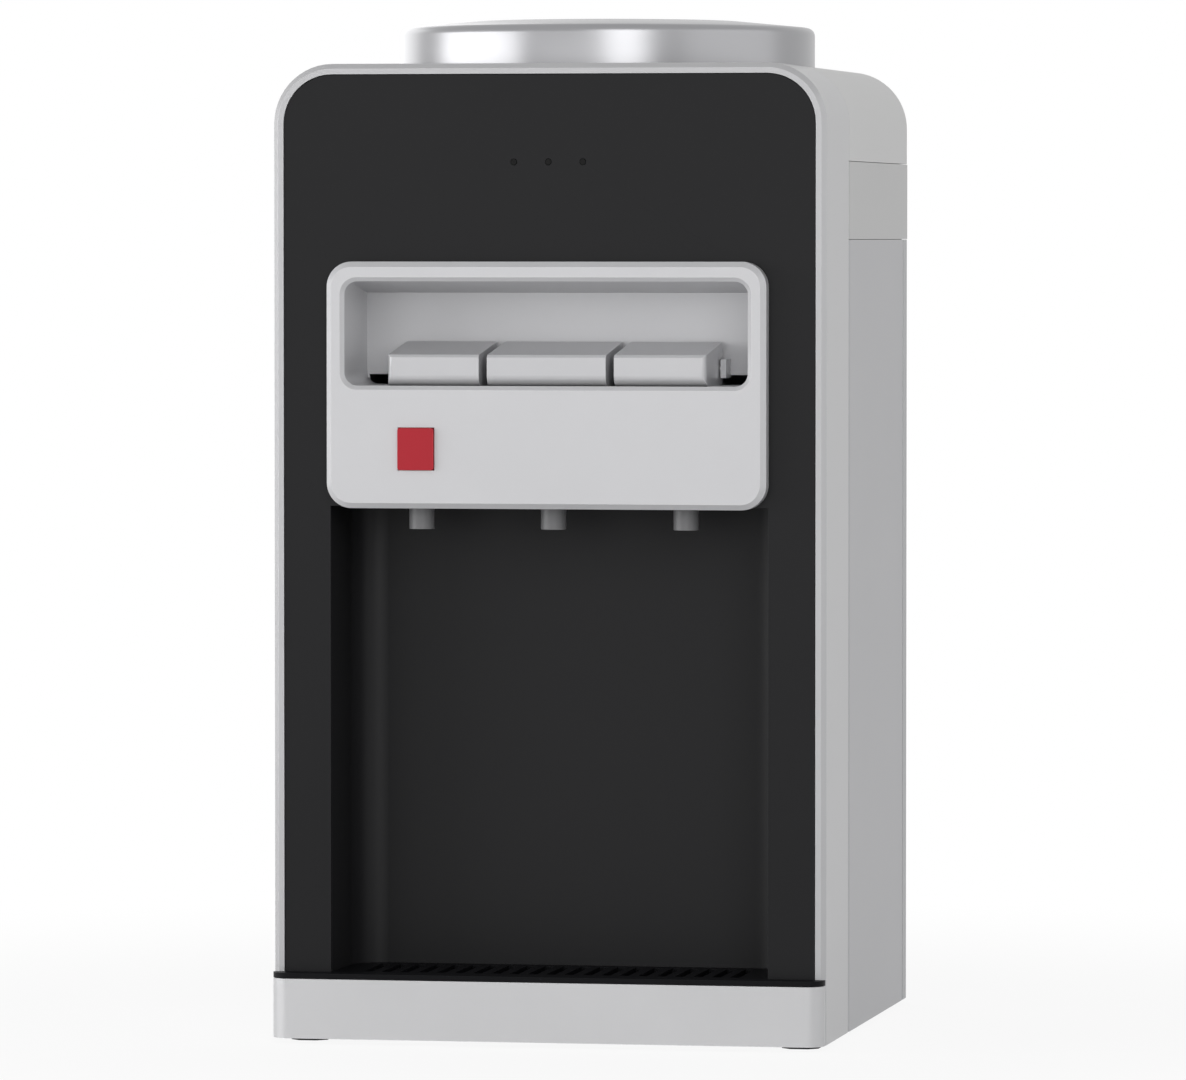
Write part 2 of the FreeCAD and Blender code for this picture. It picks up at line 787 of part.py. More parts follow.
def push_key(name):
    low, high = key_spans()[name]
    tap_x = tap_places[tap_names.index(name)]
    outline = [(key_front, key_bottom, key_front_round), (key_rear, key_bottom),
               (key_rear, key_rear_top, -key_edge_bevel), (key_front, key_front_top, -key_edge_bevel)]
    body = prism(outline, "x", low, high)
    slope = (key_rear_top - key_front_top) / (key_rear - key_front)
    inner_front = key_front + key_wall
    inner_top = key_front_top - key_top_wall
    hollow = prism([(inner_front + key_front_round / 2, key_bottom - 1), (key_rear + 1, key_bottom - 1),
                    (key_rear + 1, inner_top + slope * (key_rear - key_front)), (inner_front, inner_top),
                    (inner_front, key_bottom + key_front_round)], "x", low + key_wall, high - key_wall)
    left = key_outer_round if name == "hot" else 0.0
    right = key_outer_round if name == "cold" else 0.0
    plan = prism([(low, key_front, left), (high, key_front, right), (high, key_rear), (low, key_rear)],
                 "z", key_bottom, key_rear_top)
    pusher = box(tap_x - pusher_size / 2, tap_x + pusher_size / 2, tap_axis_depth - pusher_size / 2,
                 tap_axis_depth + pusher_size / 2, plunger_head_top + pusher_gap,
                 inner_top + key_wall / 2 + slope * (tap_axis_depth - key_front))
    bore = cylinder(key_pivot_radius + pivot_running_gap, (low - 1, key_pivot_depth, key_pivot_height),
                    (1, 0, 0), high - low + 2)
    return fused([body.cut(hollow).common(plan), pusher]).cut(bore)


def tap_body(name):
    """A moulded valve body with a round spout, the bore for the plunger and the port for the hose."""
    x = tap_places[tap_names.index(name)]
    half = tap_body_half
    front, rear = tap_axis_depth - half, tap_axis_depth + half
    block = prism(square(x, tap_axis_depth, half, -tap_body_bevel), "z", tap_body_bottom, tap_body_top)
    spout = cylinder(spout_radius, (x, tap_axis_depth, spout_bottom), (0, 0, 1),
                     tap_body_bottom - spout_bottom + 1)
    port = box(x - port_size / 2, x + port_size / 2, rear - 1, rear + port_length,
               tap_inlet_height - port_size / 2, tap_inlet_height + port_size / 2)
    pieces = [block, spout, port]
    if name == "hot":
        pieces.append(box(lock_x - lock_pad_size / 2, lock_x + lock_pad_size / 2, lock_pad_depth, front + 1,
                          lock_z - lock_pad_size / 2, lock_z + lock_pad_size / 2))
    bores = [prism(polygon(x, tap_axis_depth, outlet_radius, 8), "z", spout_bottom - 1, seat_height),
             prism(square(x, tap_axis_depth, stem_half + guide_gap, 0), "z", spout_bottom, tap_body_top + 1)]
    return fused(pieces).cut(fused(bores))


def tap_plunger(name):
    """The head that the key presses, the square stem and the plug that closes the spout from below."""
    x = tap_places[tap_names.index(name)]
    plug_top = seat_height - guide_gap
    head_bottom = plunger_head_top - plunger_head_height
    return fused([prism(square(x, tap_axis_depth, plunger_head_half, -2.0), "z", head_bottom,
                        plunger_head_top),
                  prism(square(x, tap_axis_depth, stem_half, 0), "z", plug_top, head_bottom),
                  prism(square(x, tap_axis_depth, plug_half, 0), "z", plug_top - plug_height, plug_top)])


def tap_springs():
    bottom = tap_body_top + guide_gap
    top = plunger_head_top - plunger_head_height - guide_gap
    return Part.makeCompound([coil_spring(tap_spring_radius, top - bottom, (x, tap_axis_depth, bottom),
                                          (0, 0, 1))
                              for x in tap_places])


def child_lock_button():
    back = lock_back()
    left, right = lock_x - lock_width / 2, lock_x + lock_width / 2
    low, high = lock_z - lock_height / 2, lock_z + lock_height / 2
    cap = prism([(left, low, lock_round), (right, low, lock_round), (right, high, lock_round),
                 (left, high, lock_round)], "y", tap_front - lock_rise, back)
    flange = box(left - lock_flange, right + lock_flange, back - lock_flange_wall, back,
                 low - lock_flange, high + lock_flange)
    arm = box(lock_x - lock_arm_width / 2, lock_x + lock_arm_width / 2, back - lock_flange_wall, back,
              high, lock_arm_top)
    stem = box(lock_x - lock_stem_half, lock_x + lock_stem_half, back - lock_flange_wall,
               back + lock_travel + lock_stem_margin,
               lock_z - lock_stem_half, lock_z + lock_stem_half)
    return fused([cap, flange, arm, stem])


def lock_back():
    """Depth of the rear face of the lock button's flange, which bears on the inside of the housing."""
    return tap_front + tap_panel_wall + lock_clearance + lock_flange_wall


def child_lock_spring():
    start = lock_back() + guide_gap
    return coil_spring(lock_spring_radius, lock_pad_depth - guide_gap - start, (lock_x, start, lock_z),
                       (0, 1, 0))


def indicator_lenses():
    return Part.makeCompound([prism(polygon(x, indicator_height, indicator_radius, 8), "y",
                                    panel_front - indicator_rise, panel_rear) for x in indicator_places()])


def indicator_board():
    """A small circuit board with one square lamp behind each lens."""
    half = post_place() + indicator_post
    low, high = indicator_height - indicator_board_height / 2, indicator_height + indicator_board_height / 2
    pieces = [box(-half, half, indicator_board_depth, indicator_board_depth + board_wall, low, high)]
    for x in indicator_places():
        pieces.append(box(x - indicator_radius, x + indicator_radius, panel_rear + indicator_gap,
                          indicator_board_depth, indicator_height - indicator_radius,
                          indicator_height + indicator_radius))
    return fused(pieces)


# Bottle collar, seat and probe
def crown_height(r):
    """Height of the collar's slightly domed top at a radius."""
    fall = collar_crown_rise / (collar_radius - collar_lip_radius)
    return cabinet_height + collar_height + fall * (collar_radius - r)


def bottle_collar():
    foot = cabinet_height
    w = collar_wall
    lip_inner = collar_lip_radius - w
    edge = collar_radius - collar_round
    shoulder = crown_height(edge)
    third = collar_round * (1 - math.sqrt(0.5))
    section = [(collar_radius - w, foot), (collar_radius, foot), (collar_radius, shoulder - collar_round),
               (collar_radius - third, shoulder - third), (edge, shoulder),
               (lip_inner, crown_height(lip_inner)), (lip_inner, shoulder - w),
               (collar_radius - w, shoulder - w)]
    return turned(section, 0, collar_depth, collar_sides)


def seat_outer():
    return collar_lip_radius - collar_wall - seat_lip_gap


def seat_line(r):
    """Height of the funnel's upper surface at a radius."""
    rise = math.tan(math.radians(seat_angle)) * (seat_outer() - r)
    return crown_height(collar_lip_radius) - seat_drop - rise


def bottle_seat():
    """The funnel that the bottle's shoulder rests in, with the well for its neck."""
    outer = seat_outer()
    w = seat_wall
    below = w / math.cos(math.radians(seat_angle))
    hole = probe_radius + 2 * guide_gap
    well_outer = well_radius + w
    section = [(hole, well_bottom - w), (well_outer, well_bottom - w),
               (well_outer, seat_line(well_outer) - below), (outer, seat_line(outer) - below),
               (outer, seat_line(outer)), (well_radius, seat_line(well_radius)),
               (well_radius, well_bottom), (hole, well_bottom)]
    return turned(section, 0, collar_depth, collar_sides)


def bottle_probe():
    """The tube that opens the bottle's cap, with slots that let the water down and the air up."""
    tail = well_bottom - seat_wall - probe_tail
    flange_low = well_bottom + guide_gap
    tube = prism(polygon(0, collar_depth, probe_radius, probe_sides), "z", tail, probe_top)
    flange = prism(polygon(0, collar_depth, probe_flange_half, 8), "z", flange_low,
                   flange_low + probe_flange_wall)
    bore = prism(polygon(0, collar_depth, probe_bore, 8), "z", tail - 1, probe_top - probe_end_wall)
    half = probe_slot_width / 2
    reach = probe_radius + 1
    slots = [box(-reach, reach, collar_depth - half, collar_depth + half, low, low + probe_slot_length)
             for low in (flange_low + probe_slot_rise, probe_top - probe_slot_drop - probe_slot_length)]
    return tube.fuse(flange).cut(bore).cut(Part.makeCompound(slots))


# Cold tank and its cooler
def normal_port_front():
    return collar_depth - jacket_half - port_length


def cold_tank():
    """A square cup of stainless steel with a side port for water at room temperature."""
    outer = prism(square(0, collar_depth, tank_half, -tank_bevel), "z", tank_bottom, tank_rim_top)
    half = port_size / 2
    port = box(-half, half, normal_port_front(), collar_depth - tank_half + tank_wall / 2,
               normal_outlet_height - half, normal_outlet_height + half)
    inside = prism(square(0, collar_depth, tank_half - tank_wall, -tank_bevel + tank_wall / 2), "z",
                   tank_bottom + tank_wall, tank_rim_top + 1)
    return outer.fuse(port).cut(inside)


def cold_tank_insulation():
    """Two foam halves round the tank, open for the cooling block and for the hoses."""
    front = collar_depth - jacket_half
    outline = [(-jacket_half, front, -jacket_bevel), (jacket_half, front, -jacket_bevel),
               (jacket_half, jacket_rear_depth), (-jacket_half, jacket_rear_depth)]
    half = peltier_size / 2 + jacket_gap
    room = port_size / 2 + jacket_gap
    cuts = [prism(square(0, collar_depth, tank_half + jacket_gap, -tank_bevel), "z",
                  tank_bottom, tank_rim_top + 1),
            box(-half, half, collar_depth, jacket_rear_depth + 1, cooler_height - half, cooler_height + half),
            box(-room, room, front - 1, collar_depth, normal_outlet_height - room,
                normal_outlet_height + room)]
    for x, y in tank_ports():
        cuts.append(box(x - room, x + room, y - room, y + room, shelf_top - 1, tank_bottom + 1))
    cuts.append(box(-seam_gap / 2, seam_gap / 2, 0, cabinet_depth, shelf_top - 1, tank_rim_top + 1))
    return prism(outline, "z", shelf_top, tank_rim_top).cut(Part.makeCompound(cuts))


def tank_ports():
    """Where the feed hose and the cold hose leave the bottom of the tank."""
    return ((0.0, collar_depth), (cold_outlet_x, collar_depth - cold_outlet_forward))


def tank_gasket():
    inner = tank_half - tank_wall - gasket_overhang
    outline = prism(square(0, collar_depth, tank_half + gasket_overhang, -tank_bevel), "z", tank_rim_top,
                    tank_rim_top + gasket_wall)
    return outline.cut(prism(square(0, collar_depth, inner, -tank_bevel), "z", tank_rim_top - 1,
                             tank_rim_top + gasket_wall + 1))


def tank_lid():
    low = tank_rim_top + gasket_wall
    plate = prism(square(0, collar_depth, tank_half + lid_overhang, -tank_bevel), "z", low, low + lid_wall)
    return plate.cut(prism(polygon(0, collar_depth, well_radius + seat_wall + lid_hole_gap, tank_sides), "z",
                           low - 1, low + lid_wall + 1))


def tank_baffle():
    """A plate that keeps the warmer water above the cold. Its cut corners let the water past."""
    return prism(square(0, collar_depth, tank_half - tank_wall - baffle_gap, -baffle_bevel), "z",
                 baffle_height, baffle_height + baffle_wall)


def cold_block():
    half = peltier_size / 2
    return box(-half, half, collar_depth + tank_half, cold_block_rear_depth, cooler_height - half,
               cooler_height + half)


def peltier_module():
    half = peltier_size / 2
    return box(-half, half, cold_block_rear_depth, cold_block_rear_depth + peltier_wall,
               cooler_height - half, cooler_height + half)


def sink_front():
    return cold_block_rear_depth + peltier_wall


def heat_sink():
    """A base plate with upright fins, drawn as one comb-shaped section."""
    front = sink_front()
    half = sink_size / 2
    corners = [(-half, front), (half, front)]
    pitch = (sink_size - fin_wall) / (fin_count - 1)
    for i in reversed(range(fin_count)):
        left = -half + i * pitch
        right = left + fin_wall
        corners += [(right, front + sink_depth), (left, front + sink_depth)]
        if i:
            corners += [(left, front + sink_base), (left - pitch + fin_wall, front + sink_base)]
    return prism(corners, "z", cooler_height - half, cooler_height + half)


def fan_front():
    return sink_front() + sink_depth + seam_gap


def fan_frame():
    front = fan_front()
    half = fan_size / 2
    frame = prism(rectangle(half, cooler_height - half, cooler_height + half, -fan_corner), "y", front,
                  front + fan_depth)
    frame = frame.cut(prism(polygon(0, cooler_height, fan_bore, tank_sides), "y", front - 1,
                            front + fan_depth + 1))
    plate = prism(polygon(0, cooler_height, fan_hub_radius, 8), "y", front, front + fan_plate_wall)
    struts = []
    for i in range(4):
        strut = box(fan_hub_radius - 1, fan_bore + 1, front, front + fan_plate_wall,
                    cooler_height - fan_strut_width / 2, cooler_height + fan_strut_width / 2)
        strut.rotate(Vector(0, 0, cooler_height), Vector(0, 1, 0), 45 + 90 * i)
        struts.append(strut)
    bearing = cylinder(fan_shaft_radius + pivot_running_gap, (0, front - 1, cooler_height), (0, 1, 0),
                       fan_plate_wall + 2)
    return fused([frame, plate] + struts).cut(bearing)


def fan_rotor():
    front = fan_front() + fan_plate_wall + fan_hub_gap
    length = fan_depth - fan_plate_wall - fan_hub_gap - seam_gap - fan_shaft_radius / 2
    hub = prism(polygon(0, cooler_height, fan_hub_radius, 2 * fan_blades), "y", front, front + length)
    shaft = cylinder(fan_shaft_radius, (0, fan_front() + fan_shaft_inset, cooler_height), (0, 1, 0),
                     fan_plate_wall + 1)
    middle = front + length / 2
    tip = math.sqrt((fan_bore - fan_tip_gap) ** 2 - (fan_blade_chord / 2) ** 2)
    blades = []
    for i in range(fan_blades):
        blade = box(fan_hub_radius - 2, tip, middle - fan_blade_chord / 2, middle + fan_blade_chord / 2,
                    cooler_height - fan_blade_wall / 2, cooler_height + fan_blade_wall / 2)
        blade.rotate(Vector(0, middle, cooler_height), Vector(1, 0, 0), fan_blade_pitch)
        blade.rotate(Vector(0, 0, cooler_height), Vector(0, 1, 0), 360 / fan_blades * i)
        blades.append(blade)
    return fused([hub, shaft] + blades)


def tank_shelf():
    edge = inner_side - seam_gap
    plate = box(-edge, edge, shelf_front_depth, shelf_rear_depth, shelf_top - sheet_wall, shelf_top)
    flanges = [box(min(side * edge, side * (edge - sheet_wall)), max(side * edge, side * (edge - sheet_wall)),
                   shelf_front_depth, shelf_rear_depth, shelf_top - shelf_flange, shelf_top)
               for side in (-1, 1)]
    room = port_size / 2 + jacket_gap
    holes = [box(x - room, x + room, y - room, y + room, shelf_top - 2 * sheet_wall, shelf_top + 1)
             for x, y in tank_ports()]
    return fused([plate] + flanges).cut(Part.makeCompound(holes))


# Hot tank, its heater and its stand
def hot_tank_outline(gap):
    return polygon(hot_tank_x, hot_tank_depth, hot_tank_radius + gap, tank_sides)


def hot_tank():
    """A closed can of stainless steel."""
    w = hot_tank_wall
    can = prism(hot_tank_outline(0), "z", hot_tank_bottom, hot_tank_top)
    return can.cut(prism(hot_tank_outline(-w), "z", hot_tank_bottom + w, hot_tank_top - w))


def hot_tank_insulation():
    """A foam block with a well for the tank and a window for its heater."""
    x, y = hot_tank_x, hot_tank_depth
    block = prism(square(x, y, hot_jacket_half, -hot_jacket_bevel), "z", hot_tank_bottom, hot_jacket_top)
    well = prism(hot_tank_outline(jacket_gap), "z", hot_tank_bottom - 1, hot_jacket_top + 1)
    half = heater_width / 2 + jacket_gap
    window = box(x, x + hot_jacket_half + 1, y - half, y + half, heater_bottom - jacket_gap,
                 heater_bottom + heater_height + jacket_gap)
    return block.cut(well.fuse(window))


def heater():
    """A cast heater that hugs the side of the tank, with its terminals through the foam."""
    x, y = hot_tank_x, hot_tank_depth
    half, narrow = heater_width / 2, terminal_width / 2
    pad = box(x, x + hot_tank_radius + heater_wall, y - half, y + half, heater_bottom,
              heater_bottom + heater_height)
    terminal = box(x, x + hot_jacket_half + heater_fit, y - narrow, y + narrow, heater_bottom + narrow,
                   heater_bottom + heater_height - narrow)
    tank = prism(hot_tank_outline(heater_fit), "z", hot_tank_bottom, hot_tank_top)
    side = box(x, x + 2 * hot_tank_radius, y - hot_tank_radius, y + hot_tank_radius, 0, cabinet_height)
    return pad.fuse(terminal).cut(tank).common(side)


def thermostats():
    shapes = []
    for side in (-1, 1):
        x = hot_tank_x + side * thermostat_offset
        half = thermostat_width / 2
        shapes.append(box(x - half, x + half, hot_tank_depth - half, hot_tank_depth + half, hot_tank_top,
                          hot_tank_top + thermostat_height))
    return Part.makeCompound(shapes)


def hot_tank_stand():
    """A stool bent from sheet steel, open in the middle for the hoses."""
    x, y = hot_tank_x, hot_tank_depth
    top, w, half = hot_tank_bottom, stand_wall, stand_half
    toe = half + stand_toe
    section = [(y - toe, pan_top), (y - half + w, pan_top), (y - half + w, top - w), (y + half - w, top - w),
               (y + half - w, pan_top), (y + toe, pan_top), (y + toe, pan_top + w), (y + half, pan_top + w),
               (y + half, top), (y - half, top), (y - half, pan_top + w), (y - toe, pan_top + w)]
    room = hose_radius + stand_hose_room
    centre = box(x - room, x + room, y - room, y + drain_port_offset + room, top - 2 * w, top + 1)
    notch = box(x - room, x + room, y + half - 2 * w, y + toe + 1, pan_top - 1, drain_height + room)
    return prism(section, "x", x - stand_length / 2, x + stand_length / 2).cut(centre.fuse(notch))


# Hoses
def tap_port():
    return tap_axis_depth + tap_body_half + port_length


def hose_normal():
    start = normal_port_front()
    down = start - 2 * hose_bend
    return hose([(0, start, normal_outlet_height), (0, down, normal_outlet_height),
                 (0, down, tap_inlet_height), (0, tap_port(), tap_inlet_height)])


def hose_cold():
    x, y = tank_ports()[1]
    return hose([(x, y, tank_bottom), (x, y, tap_inlet_height),
                 (tap_spacing, y - cold_hose_run, tap_inlet_height),
                 (tap_spacing, tap_port(), tap_inlet_height)])


def hose_hot():
    return hose([(hot_tank_x, hot_tank_depth, hot_tank_top), (hot_tank_x, hot_tank_depth, tap_inlet_height),
                 (hot_tank_x, tap_port(), tap_inlet_height)])


def hose_feed():
    x, y = tank_ports()[0]
    return hose([(x, y, tank_bottom), (x, y, feed_hose_height),
                 (hot_tank_x, hot_tank_depth, feed_hose_height),
                 (hot_tank_x, hot_tank_depth, hot_tank_bottom)])


def hose_drain():
    y = hot_tank_depth + drain_port_offset
    return hose([(hot_tank_x, y, hot_tank_bottom), (hot_tank_x, y, drain_height),
                 (hot_tank_x, rear_inner - drain_inner_length, drain_height)])


# Fittings in the rear panel
def drain_outlet():
    """A threaded pipe with an eight-sided flange inside the panel."""
    inner_end = rear_inner - drain_inner_length
    outer_end = cabinet_depth + drain_spout_length
    pipe = cylinder(drain_thread_radius, (hot_tank_x, inner_end, drain_height), (0, 1, 0),
                    outer_end - inner_end)
    flange = prism(polygon(hot_tank_x, drain_height, drain_flange_half, 8), "y", inner_end, rear_inner)
    bore = prism(polygon(hot_tank_x, drain_height, drain_bore, 8), "y", inner_end + drain_end_wall,
                 outer_end + 1)
    return fused([pipe, flange]).cut(bore)


def drain_cap():
    """A screw cap with flat grip sides."""
    start = cabinet_depth + drain_cap_start
    socket = cylinder(drain_thread_radius + pivot_running_gap, (hot_tank_x, start - 1, drain_height),
                      (0, 1, 0), cabinet_depth + drain_spout_length + seam_gap - start + 1)
    grip = prism(polygon(hot_tank_x, drain_height, drain_cap_radius, drain_cap_sides), "y", start,
                 start + drain_cap_length)
    return grip.cut(socket)


def cord_gland():
    """The eight-sided bushing that the cord enters through."""
    outside = cabinet_depth + gland_flange_wall
    flange = prism(polygon(gland_x, gland_height, gland_flange_half, 8), "y", cabinet_depth, outside)
    neck = prism(polygon(gland_x, gland_height, gland_half, 8), "y", rear_inner - gland_inner_length,
                 cabinet_depth)
    nut = prism(polygon(gland_x, gland_height, gland_flange_half, 8), "y", rear_inner - gland_nut_wall,
                rear_inner)
    bore = prism(polygon(gland_x, gland_height, gland_bore, 8), "y", rear_inner - gland_inner_length - 1,
                 outside + 1)
    return fused([flange, neck, nut]).cut(bore)


def switch_places():
    return (switch_x - switch_spacing / 2, switch_x + switch_spacing / 2)


def switch_bodies():
    half, tall, wall = switch_width / 2, switch_tall / 2, switch_wall
    bodies = []
    for x in switch_places():
        rim = box(x - half - switch_rim, x + half + switch_rim, cabinet_depth, cabinet_depth + switch_rim,
                  switch_height - tall - switch_rim, switch_height + tall + switch_rim)
        shell = box(x - half, x + half, cabinet_depth - switch_depth, cabinet_depth,
                    switch_height - tall, switch_height + tall)
        hollow = box(x - half + wall, x + half - wall, cabinet_depth - switch_depth / 2,
                     cabinet_depth + switch_rim + 1, switch_height - tall + wall, switch_height + tall - wall)
        bodies.append(fused([rim, shell]).cut(hollow))
    return Part.makeCompound(bodies)


def rocker(index):
    """A rocker that stands tilted in its off position."""
    x = switch_places()[index]
    half = switch_width / 2 - switch_wall - guide_gap
    reach = switch_tall / 2 - switch_wall - 3 * guide_gap
    pivot = cabinet_depth - switch_pivot_inset
    outline = [(pivot - rocker_foot, switch_height - rocker_foot),
               (pivot - rocker_foot, switch_height + rocker_foot),
               (pivot, switch_height + reach), (pivot + rocker_tip, switch_height + reach),
               (pivot + rocker_middle, switch_height), (pivot + rocker_tip, switch_height - reach),
               (pivot, switch_height - reach)]
    shape = prism(outline, "x", x - half, x + half)
    shape.rotate(Vector(x, pivot, switch_height), Vector(1, 0, 0), rocker_tilt)
    return shape


# Control board
def board_posts():
    inset = board_post_inset
    across, along = (board_left + inset, board_right - inset), (board_front + inset, board_rear - inset)
    return [(x, y) for x in across for y in along]


def control_board():
    low = pan_top + board_post_height
    top = low + board_wall
    plate = box(board_left, board_right, board_front, board_rear, low, top)
    parts_on_board = [box(board_left + left, board_left + left + wide, board_front + front,
                          board_front + front + deep, top, top + tall)
                      for left, wide, front, deep, tall in board_components]
    return fused([plate] + parts_on_board)


# Drip tray and grille
def tray_outline(inset, back):
    side = half_width - inset
    front = -tray_rise + inset
    corner = min(tray_corner - inset, back - front - seam_gap)
    return [(-side, front, corner), (side, front, corner), (side, back), (-side, back)]


def basin_outline(inset):
    side = tray_half - inset
    back = tray_back - inset
    corner = alcove_corner - inset
    return [(-side, -tray_rise / 2), (side, -tray_rise / 2), (side, back, corner), (-side, back, corner)]


def drip_tray():
    lift = pan_top + seam_gap
    bumper = prism(tray_outline(0, -seam_gap), "z", shell_bottom, tray_top)
    basin = prism(basin_outline(0), "z", lift, tray_top)
    bumper_inside = prism(tray_outline(tray_wall, -seam_gap - tray_wall), "z", shell_bottom + tray_wall,
                          tray_top + 1)
    basin_inside = prism(basin_outline(tray_wall), "z", lift + tray_wall, tray_top + 1)
    return fused([bumper, basin]).cut(bumper_inside.fuse(basin_inside))


def drip_grille():
    low = tray_top + seam_gap
    strip = prism(tray_outline(0, -seam_gap), "z", low, grille_top)
    deck = prism(basin_outline(0), "z", low, grille_top)
    lip_half = tray_half - tray_wall - seam_gap
    lip_back = tray_back - tray_wall - seam_gap
    lip_half_length = lip_half - alcove_corner
    lip = box(-lip_half_length, lip_half_length, lip_back - grille_rib, lip_back, low - grille_lip, low)
    lip_front = box(-lip_half_length, lip_half_length, 0, grille_rib, low - grille_lip, low)
    count = int((2 * lip_half - alcove_corner) // grille_slot_pitch)
    slots = []
    for i in range(count):
        x = (i - (count - 1) / 2) * grille_slot_pitch
        slots.append(box(x - grille_slot_width / 2, x + grille_slot_width / 2, grille_slot_front,
                         grille_slot_rear,
                         low - 1, grille_top + 1))
    return fused([strip, deck, lip, lip_front]).cut(Part.makeCompound(slots))


# Writing the parts
def parts():
    pieces = {
        "base_pan": base_pan(),
        "feet": feet(),
        "front_housing": front_housing(),
        "front_panel": front_panel(),
        "alcove_liner": alcove_liner(),
        "tap_housing": tap_housing(),
        "top_cover": top_cover(),
        "rear_panel": rear_panel(),
        "key_pivot_rod": key_pivot_rod(),
        "tap_springs": tap_springs(),
        "child_lock_button": child_lock_button(),
        "child_lock_spring": child_lock_spring(),
        "indicator_lenses": indicator_lenses(),
        "indicator_board": indicator_board(),
        "bottle_collar": bottle_collar(),
        "bottle_seat": bottle_seat(),
        "bottle_probe": bottle_probe(),
        "cold_tank": cold_tank(),
        "cold_tank_insulation": cold_tank_insulation(),
        "tank_gasket": tank_gasket(),
        "tank_lid": tank_lid(),
        "tank_baffle": tank_baffle(),
        "tank_shelf": tank_shelf(),
        "cold_block": cold_block(),
        "peltier_module": peltier_module(),
        "heat_sink": heat_sink(),
        "fan_frame": fan_frame(),
        "fan_rotor": fan_rotor(),
        "hot_tank": hot_tank(),
        "hot_tank_insulation": hot_tank_insulation(),
        "hot_tank_stand": hot_tank_stand(),
        "heater": heater(),
        "thermostats": thermostats(),
        "hose_normal": hose_normal(),
        "hose_cold": hose_cold(),
        "hose_hot": hose_hot(),
        "hose_feed": hose_feed(),
        "hose_drain": hose_drain(),
        "drain_outlet": drain_outlet(),
        "drain_cap": drain_cap(),
        "cord_gland": cord_gland(),
        "switch_bodies": switch_bodies(),
        "rocker_hot": rocker(0),
        "rocker_cold": rocker(1),
        "control_board": control_board(),
        "drip_tray": drip_tray(),
        "drip_grille": drip_grille(),
    }
    for word, side in (("left", -1), ("right", 1)):
        pieces["side_trim_" + word] = side_trim(side)
        pieces["side_panel_" + word] = side_panel(side)
    for name in tap_names:
        pieces["key_" + name] = push_key(name)
        pieces["tap_body_" + name] = tap_body(name)
        pieces["tap_plunger_" + name] = tap_plunger(name)
    return pieces


os.makedirs("parts", exist_ok=True)
for node, shape in parts().items():
    shape.translate(Vector(0, -origin_depth, 0))
    shape.exportStep("parts/" + node + ".step")
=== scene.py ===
import bmesh
import bpy
import json
import math
from mathutils import Matrix, Vector

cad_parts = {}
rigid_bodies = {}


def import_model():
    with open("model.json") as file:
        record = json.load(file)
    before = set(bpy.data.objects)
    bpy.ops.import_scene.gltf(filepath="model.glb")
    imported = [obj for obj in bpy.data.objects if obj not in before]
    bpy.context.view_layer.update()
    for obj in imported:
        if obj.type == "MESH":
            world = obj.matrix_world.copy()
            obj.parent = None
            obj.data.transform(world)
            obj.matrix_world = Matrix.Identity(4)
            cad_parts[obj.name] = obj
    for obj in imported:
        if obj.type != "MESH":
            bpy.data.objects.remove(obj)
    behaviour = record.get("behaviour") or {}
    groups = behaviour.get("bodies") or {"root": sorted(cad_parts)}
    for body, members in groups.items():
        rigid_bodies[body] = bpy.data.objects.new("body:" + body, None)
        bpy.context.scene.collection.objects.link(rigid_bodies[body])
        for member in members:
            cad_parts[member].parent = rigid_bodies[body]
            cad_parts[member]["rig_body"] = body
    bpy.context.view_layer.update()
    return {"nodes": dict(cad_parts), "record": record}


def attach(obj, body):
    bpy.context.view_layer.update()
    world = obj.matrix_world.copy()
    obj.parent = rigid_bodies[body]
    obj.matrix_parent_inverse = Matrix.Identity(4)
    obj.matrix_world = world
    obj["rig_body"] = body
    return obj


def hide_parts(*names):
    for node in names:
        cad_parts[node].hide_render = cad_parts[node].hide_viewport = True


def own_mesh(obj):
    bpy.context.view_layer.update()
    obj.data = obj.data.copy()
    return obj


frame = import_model()
nodes = frame["nodes"]

# Looks of a tabletop water dispenser: rounded edges on its moulded and pressed pieces, a smooth bottle
# collar and seat, round springs, screws, and a material for each slot of the record. Metres, in the frame
# of the solids.

# Planes of the solids: the trim's front, the tap housing's front and the rear panel's back
front_plane = -0.14585
tap_front = front_plane - 0.0103
rear_plane = front_plane + 0.290

# Camera, as fitted to the photograph
camera_azimuth = math.radians(10.69)
camera_elevation = math.radians(2.07)
camera_distance = 4.451
camera_target = (0.02438, front_plane, 0.27111)
focal_pixels = 8355
image_width = 1186
sensor_width = 36.0
farthest_seen = 100

# What the lamps face
lamp_target = (0.0, 0.0, 0.3)

# Bottle collar and seat, as in the solids
collar_centre = (0.0, 0.02815)
collar_radius = 0.1143
collar_bottom = 0.5252
collar_edge_height = 0.5472
collar_lip_radius = 0.0750
collar_lip_height = 0.5509
collar_wall = 0.0022
seat_radius = 0.0714
seat_height = 0.5499
well_radius = 0.0330
well_rim_height = 0.5245
well_bottom = 0.4780
seat_hole_radius = 0.0101
collar_edge_round = 0.0045
collar_lip_round = 0.0009
collar_inner_round = 0.0020
collar_lip_drop = 0.0040
well_rim_round = 0.0040
well_floor_round = 0.0015
well_outer_round = 0.0025
well_neck_round = 0.0015
lathe_steps = 128
arc_steps = 5

# Edges that are rounder than the others: how far behind a front plane they lie, and their round
trim_lip = 0.0030
tap_lip = 0.0034
trim_round = 0.0016
tap_round = 0.0017
lock_low, lock_high = (-0.0815, 0.3070), (-0.0585, 0.3320)

# The most corners of a flat face; one with more, such as a face with holes, is cut up
most_corners = 5

